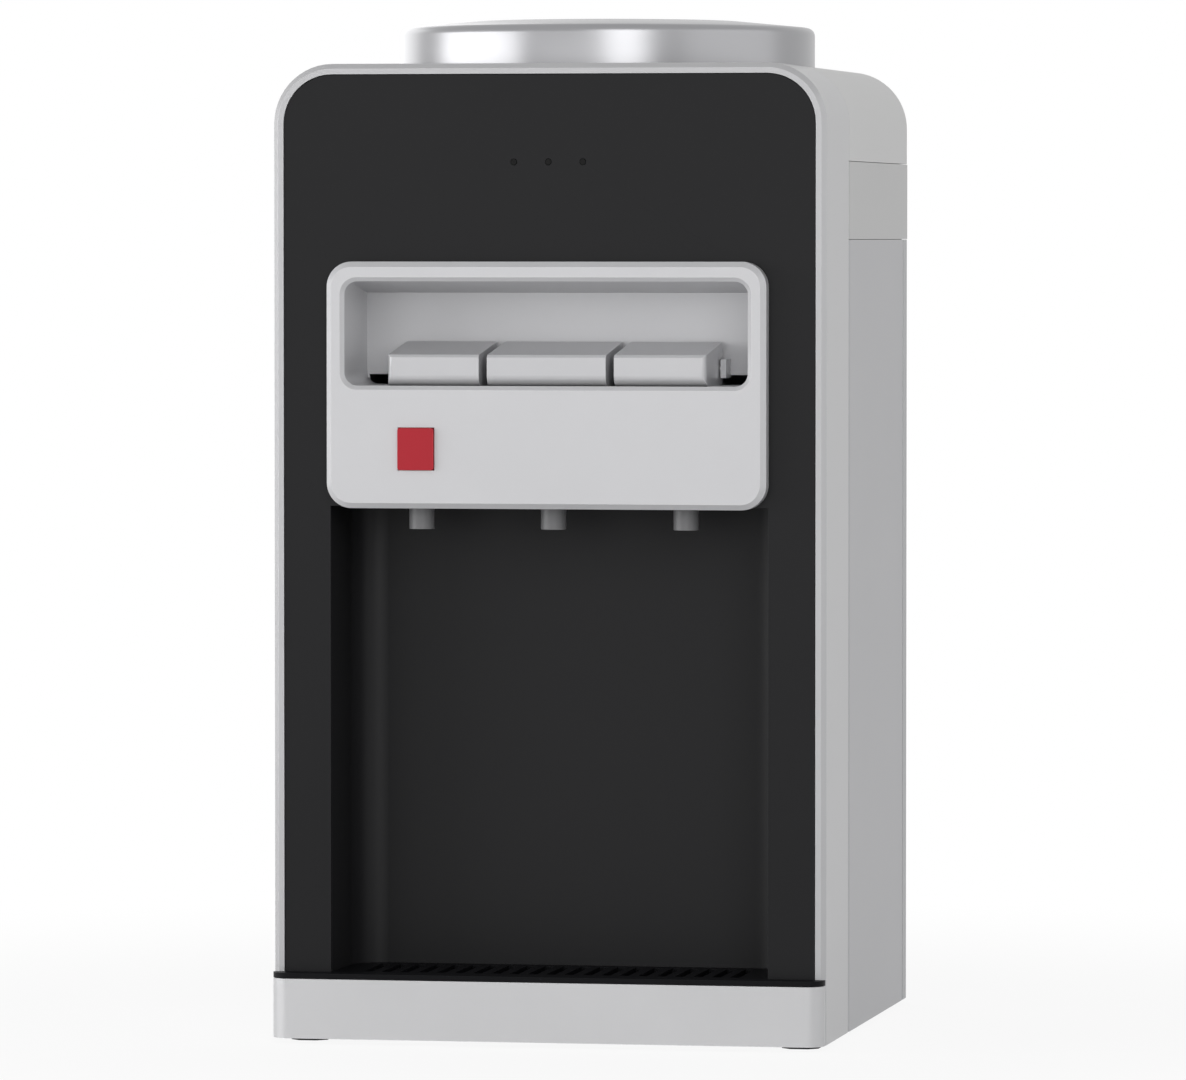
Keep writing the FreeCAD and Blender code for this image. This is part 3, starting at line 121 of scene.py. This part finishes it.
# How near corners are merged, and the angles in degrees under which faces are one flat face and over
# which an edge looks sharp
merge_distance = 1e-6
flat_angle = 0.6
sharp_angle = 32
turned_sharp_angle = 40
coil_sharp_angle = 50
screw_sharp_angle = 35

# Facets across a rounded edge, and how strongly large faces set the shading
edge_segments = 3
wide_edge_segments = 5
large_face_weight = 100

# Painted highlight on the edges, which makes them paler: how far it reaches, the cosines of the bend where
# it starts and is full, and how much paler it makes black
edge_highlight_reach = 0.0008
edge_highlight_start = 0.995
edge_highlight_full = 0.90
edge_highlight_samples = 4
edge_highlight_on_black = 0.01

# Surfaces: how deep the grain is at full strength, the blotches per metre, their share of the gloss
grain_depth = 0.0003
blotch_scale = 18.0
noise_detail = 2.0
gloss_change = 0.08
coat_roughness = 0.12

# Coil springs: the taps' stand on their foot, the lock's lies from the button to its fixed end
spring_wire = 0.0009
spring_turns = 3
spring_steps = 32
spring_sides = 10
tap_axis = front_plane + 0.0157
tap_spacing = 0.072
tap_spring_foot = 0.33131
tap_spring_radius = 0.0046
tap_spring_length = 0.01444
lock_place = (-0.0698, -0.14356, 0.3194)
lock_spring_radius = 0.0040
lock_spring_length = 0.00799

# Screws
screw_radius = 0.0034
screw_rise = 0.0013
screw_cross = 0.0018
screw_cross_width = 0.0005
screw_cross_depth = 0.0007
screw_cross_taper = 0.8
screw_rings = [(1, 0), (1, 0.35), (0.86, 0.75), (0.6, 1)]
screw_steps = 32
screw_turn = 0.7
panel_screws = [(side * 0.1405, height) for side in (-1, 1) for height in (0.022, 0.150, 0.300, 0.418)]
fan_screws = [(across, height) for across in (-0.0415, 0.0415) for height in (0.3785, 0.4615)]

# Floor: its shade, and how its glow in the camera's eye grows to white with the distance
floor_shade = 0.82
floor_roughness = 0.9
floor_specular = 0.1
floor_reach = 14.0
glow_near = 0.25
glow_far = 0.9
glow_share = 0.90


# Meshes
def new_piece(name, mesh, body, slot):
    piece = bpy.data.objects.new(name, mesh)
    bpy.context.scene.collection.objects.link(piece)
    piece.data.materials.clear()
    piece.data.materials.append(materials[slot])
    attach(piece, body)
    return piece


def smooth(mesh, angle):
    mesh.shade_smooth()
    mesh.set_sharp_from_angle(angle=math.radians(angle))


def softened(node, width, rounder=None, round_width=0.0):
    """The node's own shape with its sharp edges rounded, those that the test names more widely."""
    mesh = nodes[node].data.copy()
    bm = bmesh.new()
    bm.from_mesh(mesh)
    bmesh.ops.remove_doubles(bm, verts=bm.verts, dist=merge_distance)
    bmesh.ops.dissolve_limit(bm, angle_limit=math.radians(flat_angle), verts=bm.verts, edges=bm.edges)
    bmesh.ops.triangulate(bm, faces=[face for face in bm.faces if len(face.verts) > most_corners])
    weight = bm.edges.layers.float.new("bevel_weight_edge")
    widest = max(width, round_width)
    for edge in bm.edges:
        if edge.calc_face_angle(0.0) > math.radians(sharp_angle):
            edge[weight] = 1.0 if rounder and rounder(edge) else width / widest
    bm.to_mesh(mesh)
    bm.free()
    smooth(mesh, sharp_angle)
    piece = new_piece(node + "_finish", mesh, nodes[node]["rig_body"], slot_of[node])
    bevel = piece.modifiers.new("rounded edges", "BEVEL")
    bevel.width = widest
    bevel.segments = wide_edge_segments if rounder else edge_segments
    bevel.limit_method = "WEIGHT"
    bevel.miter_outer = "MITER_ARC"
    flatter = piece.modifiers.new("even shading", "WEIGHTED_NORMAL")
    flatter.weight = large_face_weight
    flatter.keep_sharp = False
    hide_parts(node)
    return piece


def on_trim_lip(edge):
    return all(corner.co.y < front_plane + trim_lip for corner in edge.verts)


def on_tap_lip(edge):
    """Edges round the front of the tap housing and of its window, but not those of the lock's hole."""
    def by_lock(place):
        return lock_low[0] < place.x < lock_high[0] and lock_low[1] < place.z < lock_high[1]
    return all(corner.co.y < tap_front + tap_lip and not by_lock(corner.co) for corner in edge.verts)


def eased(corners):
    """The corners (x, y, radius) of a line, with an arc at each that has a radius."""
    points = []
    count = len(corners)
    for i, (x, y, radius) in enumerate(corners):
        corner = Vector((x, y))
        if not radius:
            points.append(corner)
            continue
        before = (Vector(corners[i - 1][:2]) - corner).normalized()
        after = (Vector(corners[(i + 1) % count][:2]) - corner).normalized()
        half = before.angle(after) / 2
        centre = corner + (before + after).normalized() * (radius / math.sin(half))
        start = corner + before * (radius / math.tan(half)) - centre
        end = corner + after * (radius / math.tan(half)) - centre
        sweep = start.angle_signed(end)
        for k in range(arc_steps + 1):
            turn = -sweep * k / arc_steps
            points.append(centre + Vector((start.x * math.cos(turn) - start.y * math.sin(turn),
                                           start.x * math.sin(turn) + start.y * math.cos(turn))))
    return points


def lathe(profile, centre):
    """A closed profile of (radius, height) turned about the upright line through centre."""
    mesh = bpy.data.meshes.new("turned")
    count = len(profile)
    verts = []
    for i in range(lathe_steps):
        angle = 2 * math.pi * i / lathe_steps
        across, along = math.cos(angle), math.sin(angle)
        for radius, height in profile:
            verts.append((centre[0] + radius * across, centre[1] + radius * along, height))
    faces = []
    for i in range(lathe_steps):
        for j in range(count):
            a = i * count + j
            b = i * count + (j + 1) % count
            c = ((i + 1) % lathe_steps) * count + (j + 1) % count
            d = ((i + 1) % lathe_steps) * count + j
            faces.append((a, d, c, b))
    mesh.from_pydata(verts, [], faces)
    bm = bmesh.new()
    bm.from_mesh(mesh)
    bmesh.ops.recalc_face_normals(bm, faces=bm.faces)
    bm.to_mesh(mesh)
    bm.free()
    smooth(mesh, turned_sharp_angle)
    return mesh


# Materials
def painted_edge_highlight(tree, fine):
    """A mask that is 1 where the surface bends sharply, broken up by the fine noise; it places the painted
    highlight on the edges.
    """
    flat = tree.nodes.new("ShaderNodeNewGeometry")
    bent = tree.nodes.new("ShaderNodeBevel")
    bent.samples = edge_highlight_samples
    bent.inputs["Radius"].default_value = edge_highlight_reach
    both = tree.nodes.new("ShaderNodeVectorMath")
    both.operation = "DOT_PRODUCT"
    tree.links.new(flat.outputs["Normal"], both.inputs[0])
    tree.links.new(bent.outputs["Normal"], both.inputs[1])
    bend = tree.nodes.new("ShaderNodeMapRange")
    bend.inputs["From Min"].default_value = edge_highlight_start
    bend.inputs["From Max"].default_value = edge_highlight_full
    tree.links.new(both.outputs["Value"], bend.inputs["Value"])
    broken = tree.nodes.new("ShaderNodeMath")
    broken.operation = "MULTIPLY"
    tree.links.new(bend.outputs["Result"], broken.inputs[0])
    tree.links.new(fine.outputs["Fac"], broken.inputs[1])
    return broken.outputs[0]


def surface(name, colour, roughness, metallic=0.0, coat=0.0, grain=0.02, grain_size=0.0012, mottling=0.03,
            edge_highlight=0.25, specular=0.5):
    """Fine grain, uneven gloss, a trace of colour change and a painted highlight that makes the edges
    paler.
    """
    material = bpy.data.materials.new(name)
    material.use_nodes = True
    tree = material.node_tree
    shader = tree.nodes["Principled BSDF"]
    shader.inputs["Metallic"].default_value = metallic
    shader.inputs["Specular IOR Level"].default_value = specular
    shader.inputs["Coat Weight"].default_value = coat
    shader.inputs["Coat Roughness"].default_value = coat_roughness
    place = tree.nodes.new("ShaderNodeTexCoord")
    broad = tree.nodes.new("ShaderNodeTexNoise")
    broad.inputs["Scale"].default_value = blotch_scale
    broad.inputs["Detail"].default_value = noise_detail
    fine = tree.nodes.new("ShaderNodeTexNoise")
    fine.inputs["Scale"].default_value = 1 / grain_size
    fine.inputs["Detail"].default_value = noise_detail
    tree.links.new(place.outputs["Object"], broad.inputs["Vector"])
    tree.links.new(place.outputs["Object"], fine.inputs["Vector"])
    tint = tree.nodes.new("ShaderNodeMix")
    tint.data_type = "RGBA"
    tint.inputs["A"].default_value = [c * (1 - mottling) for c in colour] + [1.0]
    tint.inputs["B"].default_value = [min(1.0, c * (1 + mottling)) for c in colour] + [1.0]
    tree.links.new(broad.outputs["Fac"], tint.inputs["Factor"])
    # The sharp edges are painted paler: a painted highlight along them
    edge = painted_edge_highlight(tree, fine)
    highlight_mix = tree.nodes.new("ShaderNodeMix")
    highlight_mix.data_type = "RGBA"
    highlighted_colour = [min(1.0, c * (1 + edge_highlight) + edge_highlight_on_black * edge_highlight) for c in colour]
    highlight_mix.inputs["B"].default_value = highlighted_colour + [1.0]
    tree.links.new(edge, highlight_mix.inputs["Factor"])
    tree.links.new(tint.outputs["Result"], highlight_mix.inputs["A"])
    tree.links.new(highlight_mix.outputs["Result"], shader.inputs["Base Color"])
    gloss = tree.nodes.new("ShaderNodeMapRange")
    gloss.inputs["To Min"].default_value = roughness * (1 - gloss_change)
    gloss.inputs["To Max"].default_value = roughness * (1 + gloss_change)
    tree.links.new(broad.outputs["Fac"], gloss.inputs["Value"])
    tree.links.new(gloss.outputs["Result"], shader.inputs["Roughness"])
    bump = tree.nodes.new("ShaderNodeBump")
    bump.inputs["Strength"].default_value = grain
    bump.inputs["Distance"].default_value = grain_depth
    tree.links.new(fine.outputs["Fac"], bump.inputs["Height"])
    tree.links.new(bump.outputs["Normal"], shader.inputs["Normal"])
    return material


materials = {
    "silver_shell": surface("silver_shell", (0.49, 0.49, 0.50), 0.30, metallic=0.2, grain=0.04,
                            specular=0.15),
    "silver_cover": surface("silver_cover", (0.53, 0.53, 0.53), 0.40, metallic=0.25, grain=0.06),
    "side_sheet": surface("side_sheet", (0.45, 0.45, 0.465), 0.45, metallic=0.2, grain=0.1),
    "rear_sheet": surface("rear_sheet", (0.46, 0.465, 0.475), 0.5, metallic=0.2, grain=0.1),
    "zinc_sheet": surface("zinc_sheet", (0.50, 0.51, 0.52), 0.42, metallic=0.9, mottling=0.12),
    "black_panel": surface("black_panel", (0.013, 0.013, 0.014), 0.30, mottling=0.06, specular=0.12),
    "black_alcove": surface("black_alcove", (0.013, 0.013, 0.014), 0.42, grain=0.08, mottling=0.06,
                            specular=0.15),
    "black_grille": surface("black_grille", (0.004, 0.004, 0.005), 0.45, grain=0.1, specular=0.08),
    "pale_plastic": surface("pale_plastic", (0.57, 0.57, 0.585), 0.32, metallic=0.1, coat=0.1, grain=0.03),
    "key_plastic": surface("key_plastic", (0.53, 0.53, 0.545), 0.30, metallic=0.1, coat=0.1, grain=0.03),
    "red_plastic": surface("red_plastic", (0.42, 0.012, 0.024), 0.34, grain=0.03, specular=0.25),
    "spout_plastic": surface("spout_plastic", (0.17, 0.17, 0.175), 0.38, grain=0.06, specular=0.3),
    "tray_front": surface("tray_front", (0.59, 0.59, 0.60), 0.30, metallic=0.2, grain=0.04, specular=0.1),
    "steel": surface("steel", (0.60, 0.60, 0.61), 0.28, metallic=1.0, mottling=0.05),
    "spring_steel": surface("spring_steel", (0.55, 0.55, 0.56), 0.22, metallic=1.0),
    "collar_metallic": surface("collar_metallic", (0.30, 0.30, 0.31), 0.30, metallic=0.9, grain=0.03),
    "white_plastic": surface("white_plastic", (0.78, 0.78, 0.76), 0.38, grain=0.06),
    "black_plastic": surface("black_plastic", (0.02, 0.02, 0.02), 0.45, grain=0.10),
    "dark_lens": surface("dark_lens", (0.003, 0.003, 0.003), 0.15, specular=0.1),
    "board": surface("board", (0.03, 0.14, 0.06), 0.4, mottling=0.15),
    "clear_rubber": surface("clear_rubber", (0.70, 0.68, 0.62), 0.40, grain=0.03),
    "black_rubber": surface("black_rubber", (0.02, 0.02, 0.02), 0.75, grain=0.2),
    "foam": surface("foam", (0.80, 0.80, 0.78), 0.9, grain=0.6, grain_size=0.003),
    "aluminium": surface("aluminium", (0.66, 0.67, 0.68), 0.35, metallic=1.0),
    "ceramic": surface("ceramic", (0.80, 0.80, 0.79), 0.35),
}

# The side trims share the cover's slot, in a darker batch of its paint
trim_paint = surface("trim_paint", (0.44, 0.44, 0.44), 0.40, metallic=0.25, grain=0.06)

slot_of = {entry["node"]: entry["material_slot"] for entry in frame["record"]["subparts"]}
for node, shape in nodes.items():
    shape.data.materials.clear()
    shape.data.materials.append(materials[slot_of[node]])

# Rounded edges on the pieces that show
for node, width in (
    ("front_panel", 0.0006), ("alcove_liner", 0.0008),
    ("top_cover", 0.0006),
    ("side_panel_left", 0.0005), ("side_panel_right", 0.0005), ("rear_panel", 0.0004),
    ("key_hot", 0.0008), ("key_normal", 0.0008), ("key_cold", 0.0008), ("child_lock_button", 0.0005),
    ("tap_body_hot", 0.0005), ("tap_body_normal", 0.0005), ("tap_body_cold", 0.0005),
    ("drip_tray", 0.0010), ("bottle_probe", 0.0003), ("drain_cap", 0.0008),
    ("drain_outlet", 0.0004), ("cord_gland", 0.0006), ("rocker_hot", 0.0005), ("rocker_cold", 0.0005),
    ("switch_bodies", 0.0004), ("feet", 0.0005), ("fan_rotor", 0.0004),
):
    softened(node, width)
softened("front_housing", 0.0004, on_trim_lip, trim_round)
softened("tap_housing", 0.0005, on_tap_lip, tap_round)
for side in ("left", "right"):
    softened("side_trim_" + side, 0.0005).data.materials[0] = trim_paint


# Bottle collar, turned smooth
def bottle_collar():
    fall = (collar_lip_height - collar_edge_height) / (collar_radius - collar_lip_radius)
    inner = collar_lip_radius - collar_wall
    inner_top = collar_lip_height + fall * collar_wall
    ceiling = collar_edge_height - collar_wall
    outline = eased([
        (collar_radius, collar_bottom, 0),
        (collar_radius, collar_edge_height, collar_edge_round),
        (inner, inner_top, collar_lip_round),
        (inner, ceiling - collar_lip_drop, 0),
        (collar_lip_radius, ceiling - collar_lip_drop, 0),
        (collar_lip_radius, ceiling, 0),
        (collar_radius - collar_wall, ceiling, collar_inner_round),
        (collar_radius - collar_wall, collar_bottom, 0),
    ])
    piece = new_piece("bottle_collar_turned", lathe(outline, collar_centre), "cabinet", "collar_metallic")
    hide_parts("bottle_collar")


def bottle_seat():
    lean = math.atan2(seat_height - well_rim_height, seat_radius - well_radius)
    below = collar_wall / math.cos(lean)
    outer_rim = well_rim_height + collar_wall * math.tan(lean) - below
    outline = eased([
        (seat_hole_radius, well_bottom - collar_wall, 0),
        (well_radius + collar_wall, well_bottom - collar_wall, well_outer_round),
        (well_radius + collar_wall, outer_rim, well_neck_round),
        (seat_radius, seat_height - below, 0),
        (seat_radius, seat_height, 0),
        (well_radius, well_rim_height, well_rim_round),
        (well_radius, well_bottom, well_floor_round),
        (seat_hole_radius, well_bottom, 0),
    ])
    seat = lathe(outline, collar_centre)
    piece = new_piece("bottle_seat_turned", seat, "bottle_seat", slot_of["bottle_seat"])
    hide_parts("bottle_seat")


# Springs of the taps and of the child lock
def coil(radius, length, foot, along):
    """A spring of round wire from foot along a direction."""
    turn = Vector((0, 0, 1)).rotation_difference(Vector(along)).to_matrix()
    rise = length - spring_wire
    count = spring_turns * spring_steps
    verts, faces = [], []
    for i in range(count + 1):
        angle = 2 * math.pi * i / spring_steps
        outward = Vector((math.cos(angle), math.sin(angle), 0))
        ahead = Vector((-math.sin(angle), math.cos(angle), rise / (2 * math.pi * radius * spring_turns)))
        sideways = ahead.normalized().cross(outward)
        middle = outward * radius + Vector((0, 0, spring_wire / 2 + rise * i / count))
        for k in range(spring_sides):
            about = 2 * math.pi * k / spring_sides
            spot = middle + (outward * math.cos(about) + sideways * math.sin(about)) * (spring_wire / 2)
            verts.append(Vector(foot) + turn @ spot)
    for i in range(count):
        for k in range(spring_sides):
            a, b = i * spring_sides + k, i * spring_sides + (k + 1) % spring_sides
            faces.append((a, b, b + spring_sides, a + spring_sides))
    faces.append(tuple(reversed(range(spring_sides))))
    faces.append(tuple(range(count * spring_sides, (count + 1) * spring_sides)))
    mesh = bpy.data.meshes.new("coil")
    mesh.from_pydata(verts, [], faces)
    bm = bmesh.new()
    bm.from_mesh(mesh)
    bmesh.ops.recalc_face_normals(bm, faces=bm.faces)
    bm.to_mesh(mesh)
    bm.free()
    smooth(mesh, coil_sharp_angle)
    return mesh


def spring(name, node, mesh):
    piece = new_piece(name, mesh, nodes[node]["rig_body"], slot_of[node])
    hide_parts(node)
    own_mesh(piece)


def springs():
    for i, tap in enumerate(("hot", "normal", "cold")):
        foot = ((i - 1) * tap_spacing, tap_axis, tap_spring_foot)
        mesh = coil(tap_spring_radius, tap_spring_length, foot, (0, 0, 1))
        spring("tap_spring_" + tap, "tap_springs", mesh)
    mesh = coil(lock_spring_radius, lock_spring_length, lock_place, (0, -1, 0))
    spring("child_lock_coil", "child_lock_spring", mesh)


# Screws in the rear panel and in the fan's corners
def screw_head():
    """A low domed head with a cross cut into it, along +Y from its seat."""
    bm = bmesh.new()
    angles = [2 * math.pi * i / screw_steps for i in range(screw_steps)]
    loops = []
    for out, up in screw_rings:
        radius, height = out * screw_radius, up * screw_rise
        loops.append([bm.verts.new((radius * math.cos(a), height, radius * math.sin(a))) for a in angles])
    for low, high in zip(loops, loops[1:]):
        for i in range(screw_steps):
            k = (i + 1) % screw_steps
            bm.faces.new((low[i], low[k], high[k], high[i]))
    bm.faces.new(reversed(loops[0]))
    arm, half = screw_cross, screw_cross_width
    cross = [(arm, -half), (arm, half), (half, half), (half, arm), (-half, arm), (-half, half),
             (-arm, half), (-arm, -half), (-half, -half), (-half, -arm), (half, -arm), (half, -half)]
    rim = [bm.verts.new((x, screw_rise, z)) for x, z in cross]
    pit = [bm.verts.new((screw_cross_taper * x, screw_rise - screw_cross_depth, screw_cross_taper * z))
           for x, z in cross]
    for i in range(len(cross)):
        k = (i + 1) % len(cross)
        bm.faces.new((rim[i], rim[k], pit[k], pit[i]))
    bm.faces.new(pit)
    edges = [bm.edges.get((ring[i], ring[(i + 1) % len(ring)])) for ring in (loops[-1], rim)
             for i in range(len(ring))]
    bmesh.ops.triangle_fill(bm, edges=edges, use_beauty=True)
    bmesh.ops.recalc_face_normals(bm, faces=bm.faces)
    mesh = bpy.data.meshes.new("screw")
    bm.to_mesh(mesh)
    bm.free()
    smooth(mesh, screw_sharp_angle)
    return mesh


def screws():
    head = screw_head()
    for kind, places in (("panel", panel_screws), ("fan", fan_screws)):
        for i, (across, height) in enumerate(places):
            mesh = head.copy()
            turn = Matrix.Rotation(screw_turn * i, 4, "Y")
            mesh.transform(Matrix.Translation((across, rear_plane, height)) @ turn)
            new_piece(f"{kind}_screw_{i + 1}", mesh, "cabinet", "steel")


bottle_collar()
bottle_seat()
springs()
screws()

# Stage: a pale floor, a white surround and soft lamps
def floor():
    material = bpy.data.materials.new("floor")
    material.use_nodes = True
    tree = material.node_tree
    shader = tree.nodes["Principled BSDF"]
    shader.inputs["Base Color"].default_value = (floor_shade, floor_shade, floor_shade, 1.0)
    shader.inputs["Roughness"].default_value = floor_roughness
    shader.inputs["Specular IOR Level"].default_value = floor_specular
    glow = tree.nodes.new("ShaderNodeEmission")
    glow.inputs["Strength"].default_value = 1.0
    path = tree.nodes.new("ShaderNodeLightPath")
    seen = seen_directly(tree, path)
    place = tree.nodes.new("ShaderNodeTexCoord")
    away = tree.nodes.new("ShaderNodeVectorMath")
    away.operation = "LENGTH"
    tree.links.new(place.outputs["Object"], away.inputs[0])
    fade = tree.nodes.new("ShaderNodeMapRange")
    fade.interpolation_type = "SMOOTHSTEP"
    fade.inputs["From Min"].default_value = glow_near
    fade.inputs["From Max"].default_value = glow_far
    fade.inputs["To Min"].default_value = glow_share
    tree.links.new(away.outputs["Value"], fade.inputs["Value"])
    share = tree.nodes.new("ShaderNodeMath")
    share.operation = "MULTIPLY"
    tree.links.new(fade.outputs["Result"], share.inputs[1])
    tree.links.new(seen, share.inputs[0])
    mix = tree.nodes.new("ShaderNodeMixShader")
    tree.links.new(share.outputs[0], mix.inputs["Fac"])
    tree.links.new(shader.outputs[0], mix.inputs[1])
    tree.links.new(glow.outputs[0], mix.inputs[2])
    tree.links.new(mix.outputs[0], tree.nodes["Material Output"].inputs["Surface"])
    mesh = bpy.data.meshes.new("floor")
    corners = [(x * floor_reach, y * floor_reach, 0) for x, y in ((-1, -1), (1, -1), (1, 1), (-1, 1))]
    mesh.from_pydata(corners, [], [(0, 1, 2, 3)])
    mesh.materials.append(material)
    sheet = bpy.data.objects.new("floor", mesh)
    bpy.context.scene.collection.objects.link(sheet)


def seen_directly(tree, path):
    """1 for the rays that show a background: the camera's own, and those that gloss or glass pass on."""
    total = path.outputs["Is Camera Ray"]
    for kind in ("Is Glossy Ray", "Is Transmission Ray"):
        either = tree.nodes.new("ShaderNodeMath")
        either.operation = "MAXIMUM"
        tree.links.new(total, either.inputs[0])
        tree.links.new(path.outputs[kind], either.inputs[1])
        total = either.outputs[0]
    return total


def surround(strength):
    world = bpy.data.worlds.new("surround")
    bpy.context.scene.world = world
    world.use_nodes = True
    tree = world.node_tree
    back = tree.nodes["Background"]
    back.inputs["Color"].default_value = (1.0, 1.0, 1.0, 1.0)
    path = tree.nodes.new("ShaderNodeLightPath")
    level = tree.nodes.new("ShaderNodeMapRange")
    level.inputs["To Min"].default_value = strength
    level.inputs["To Max"].default_value = 1.0
    tree.links.new(seen_directly(tree, path), level.inputs["Value"])
    tree.links.new(level.outputs["Result"], back.inputs["Strength"])


def softbox(name, azimuth, elevation, distance, size, radiance):
    """A soft lamp that faces the object. Azimuth 0 is straight in front and positive to the right."""
    data = bpy.data.lights.new(name, "AREA")
    data.shape = "RECTANGLE"
    data.size, data.size_y = size
    data.energy = radiance * math.pi * size[0] * size[1]
    across, up = math.radians(azimuth), math.radians(elevation)
    away = Vector((math.sin(across) * math.cos(up), -math.cos(across) * math.cos(up), math.sin(up)))
    light = bpy.data.objects.new(name, data)
    light.location = Vector(lamp_target) + away * distance
    light.rotation_euler = (-away).to_track_quat("-Z", "Y").to_euler()
    light.visible_camera = False
    bpy.context.scene.collection.objects.link(light)


def camera():
    data = bpy.data.cameras.new("camera")
    data.sensor_width = sensor_width
    data.lens = focal_pixels / image_width * sensor_width
    data.clip_end = farthest_seen
    eye = bpy.data.objects.new("camera", data)
    back = Vector((math.sin(camera_azimuth) * math.cos(camera_elevation),
                   -math.cos(camera_azimuth) * math.cos(camera_elevation),
                   math.sin(camera_elevation)))
    eye.location = Vector(camera_target) + back * camera_distance
    eye.rotation_euler = (-back).to_track_quat("-Z", "Y").to_euler()
    bpy.context.scene.collection.objects.link(eye)
    bpy.context.scene.camera = eye


floor()
surround(0.27)
softbox("left_box", -66, 4, 2.6, (2.6, 1.2), 4.15)
softbox("front_box", 20, 15, 3.2, (1.3, 2.0), 3.5)
softbox("low_front_box", -12, 2, 3.6, (2.2, 1.4), 1.05)
softbox("right_box", 84, 12, 2.8, (3.4, 2.4), 0.60)
softbox("rear_left_box", -142, 12, 2.8, (2.4, 1.8), 1.3)
camera()
bpy.context.scene.view_settings.view_transform = "Standard"
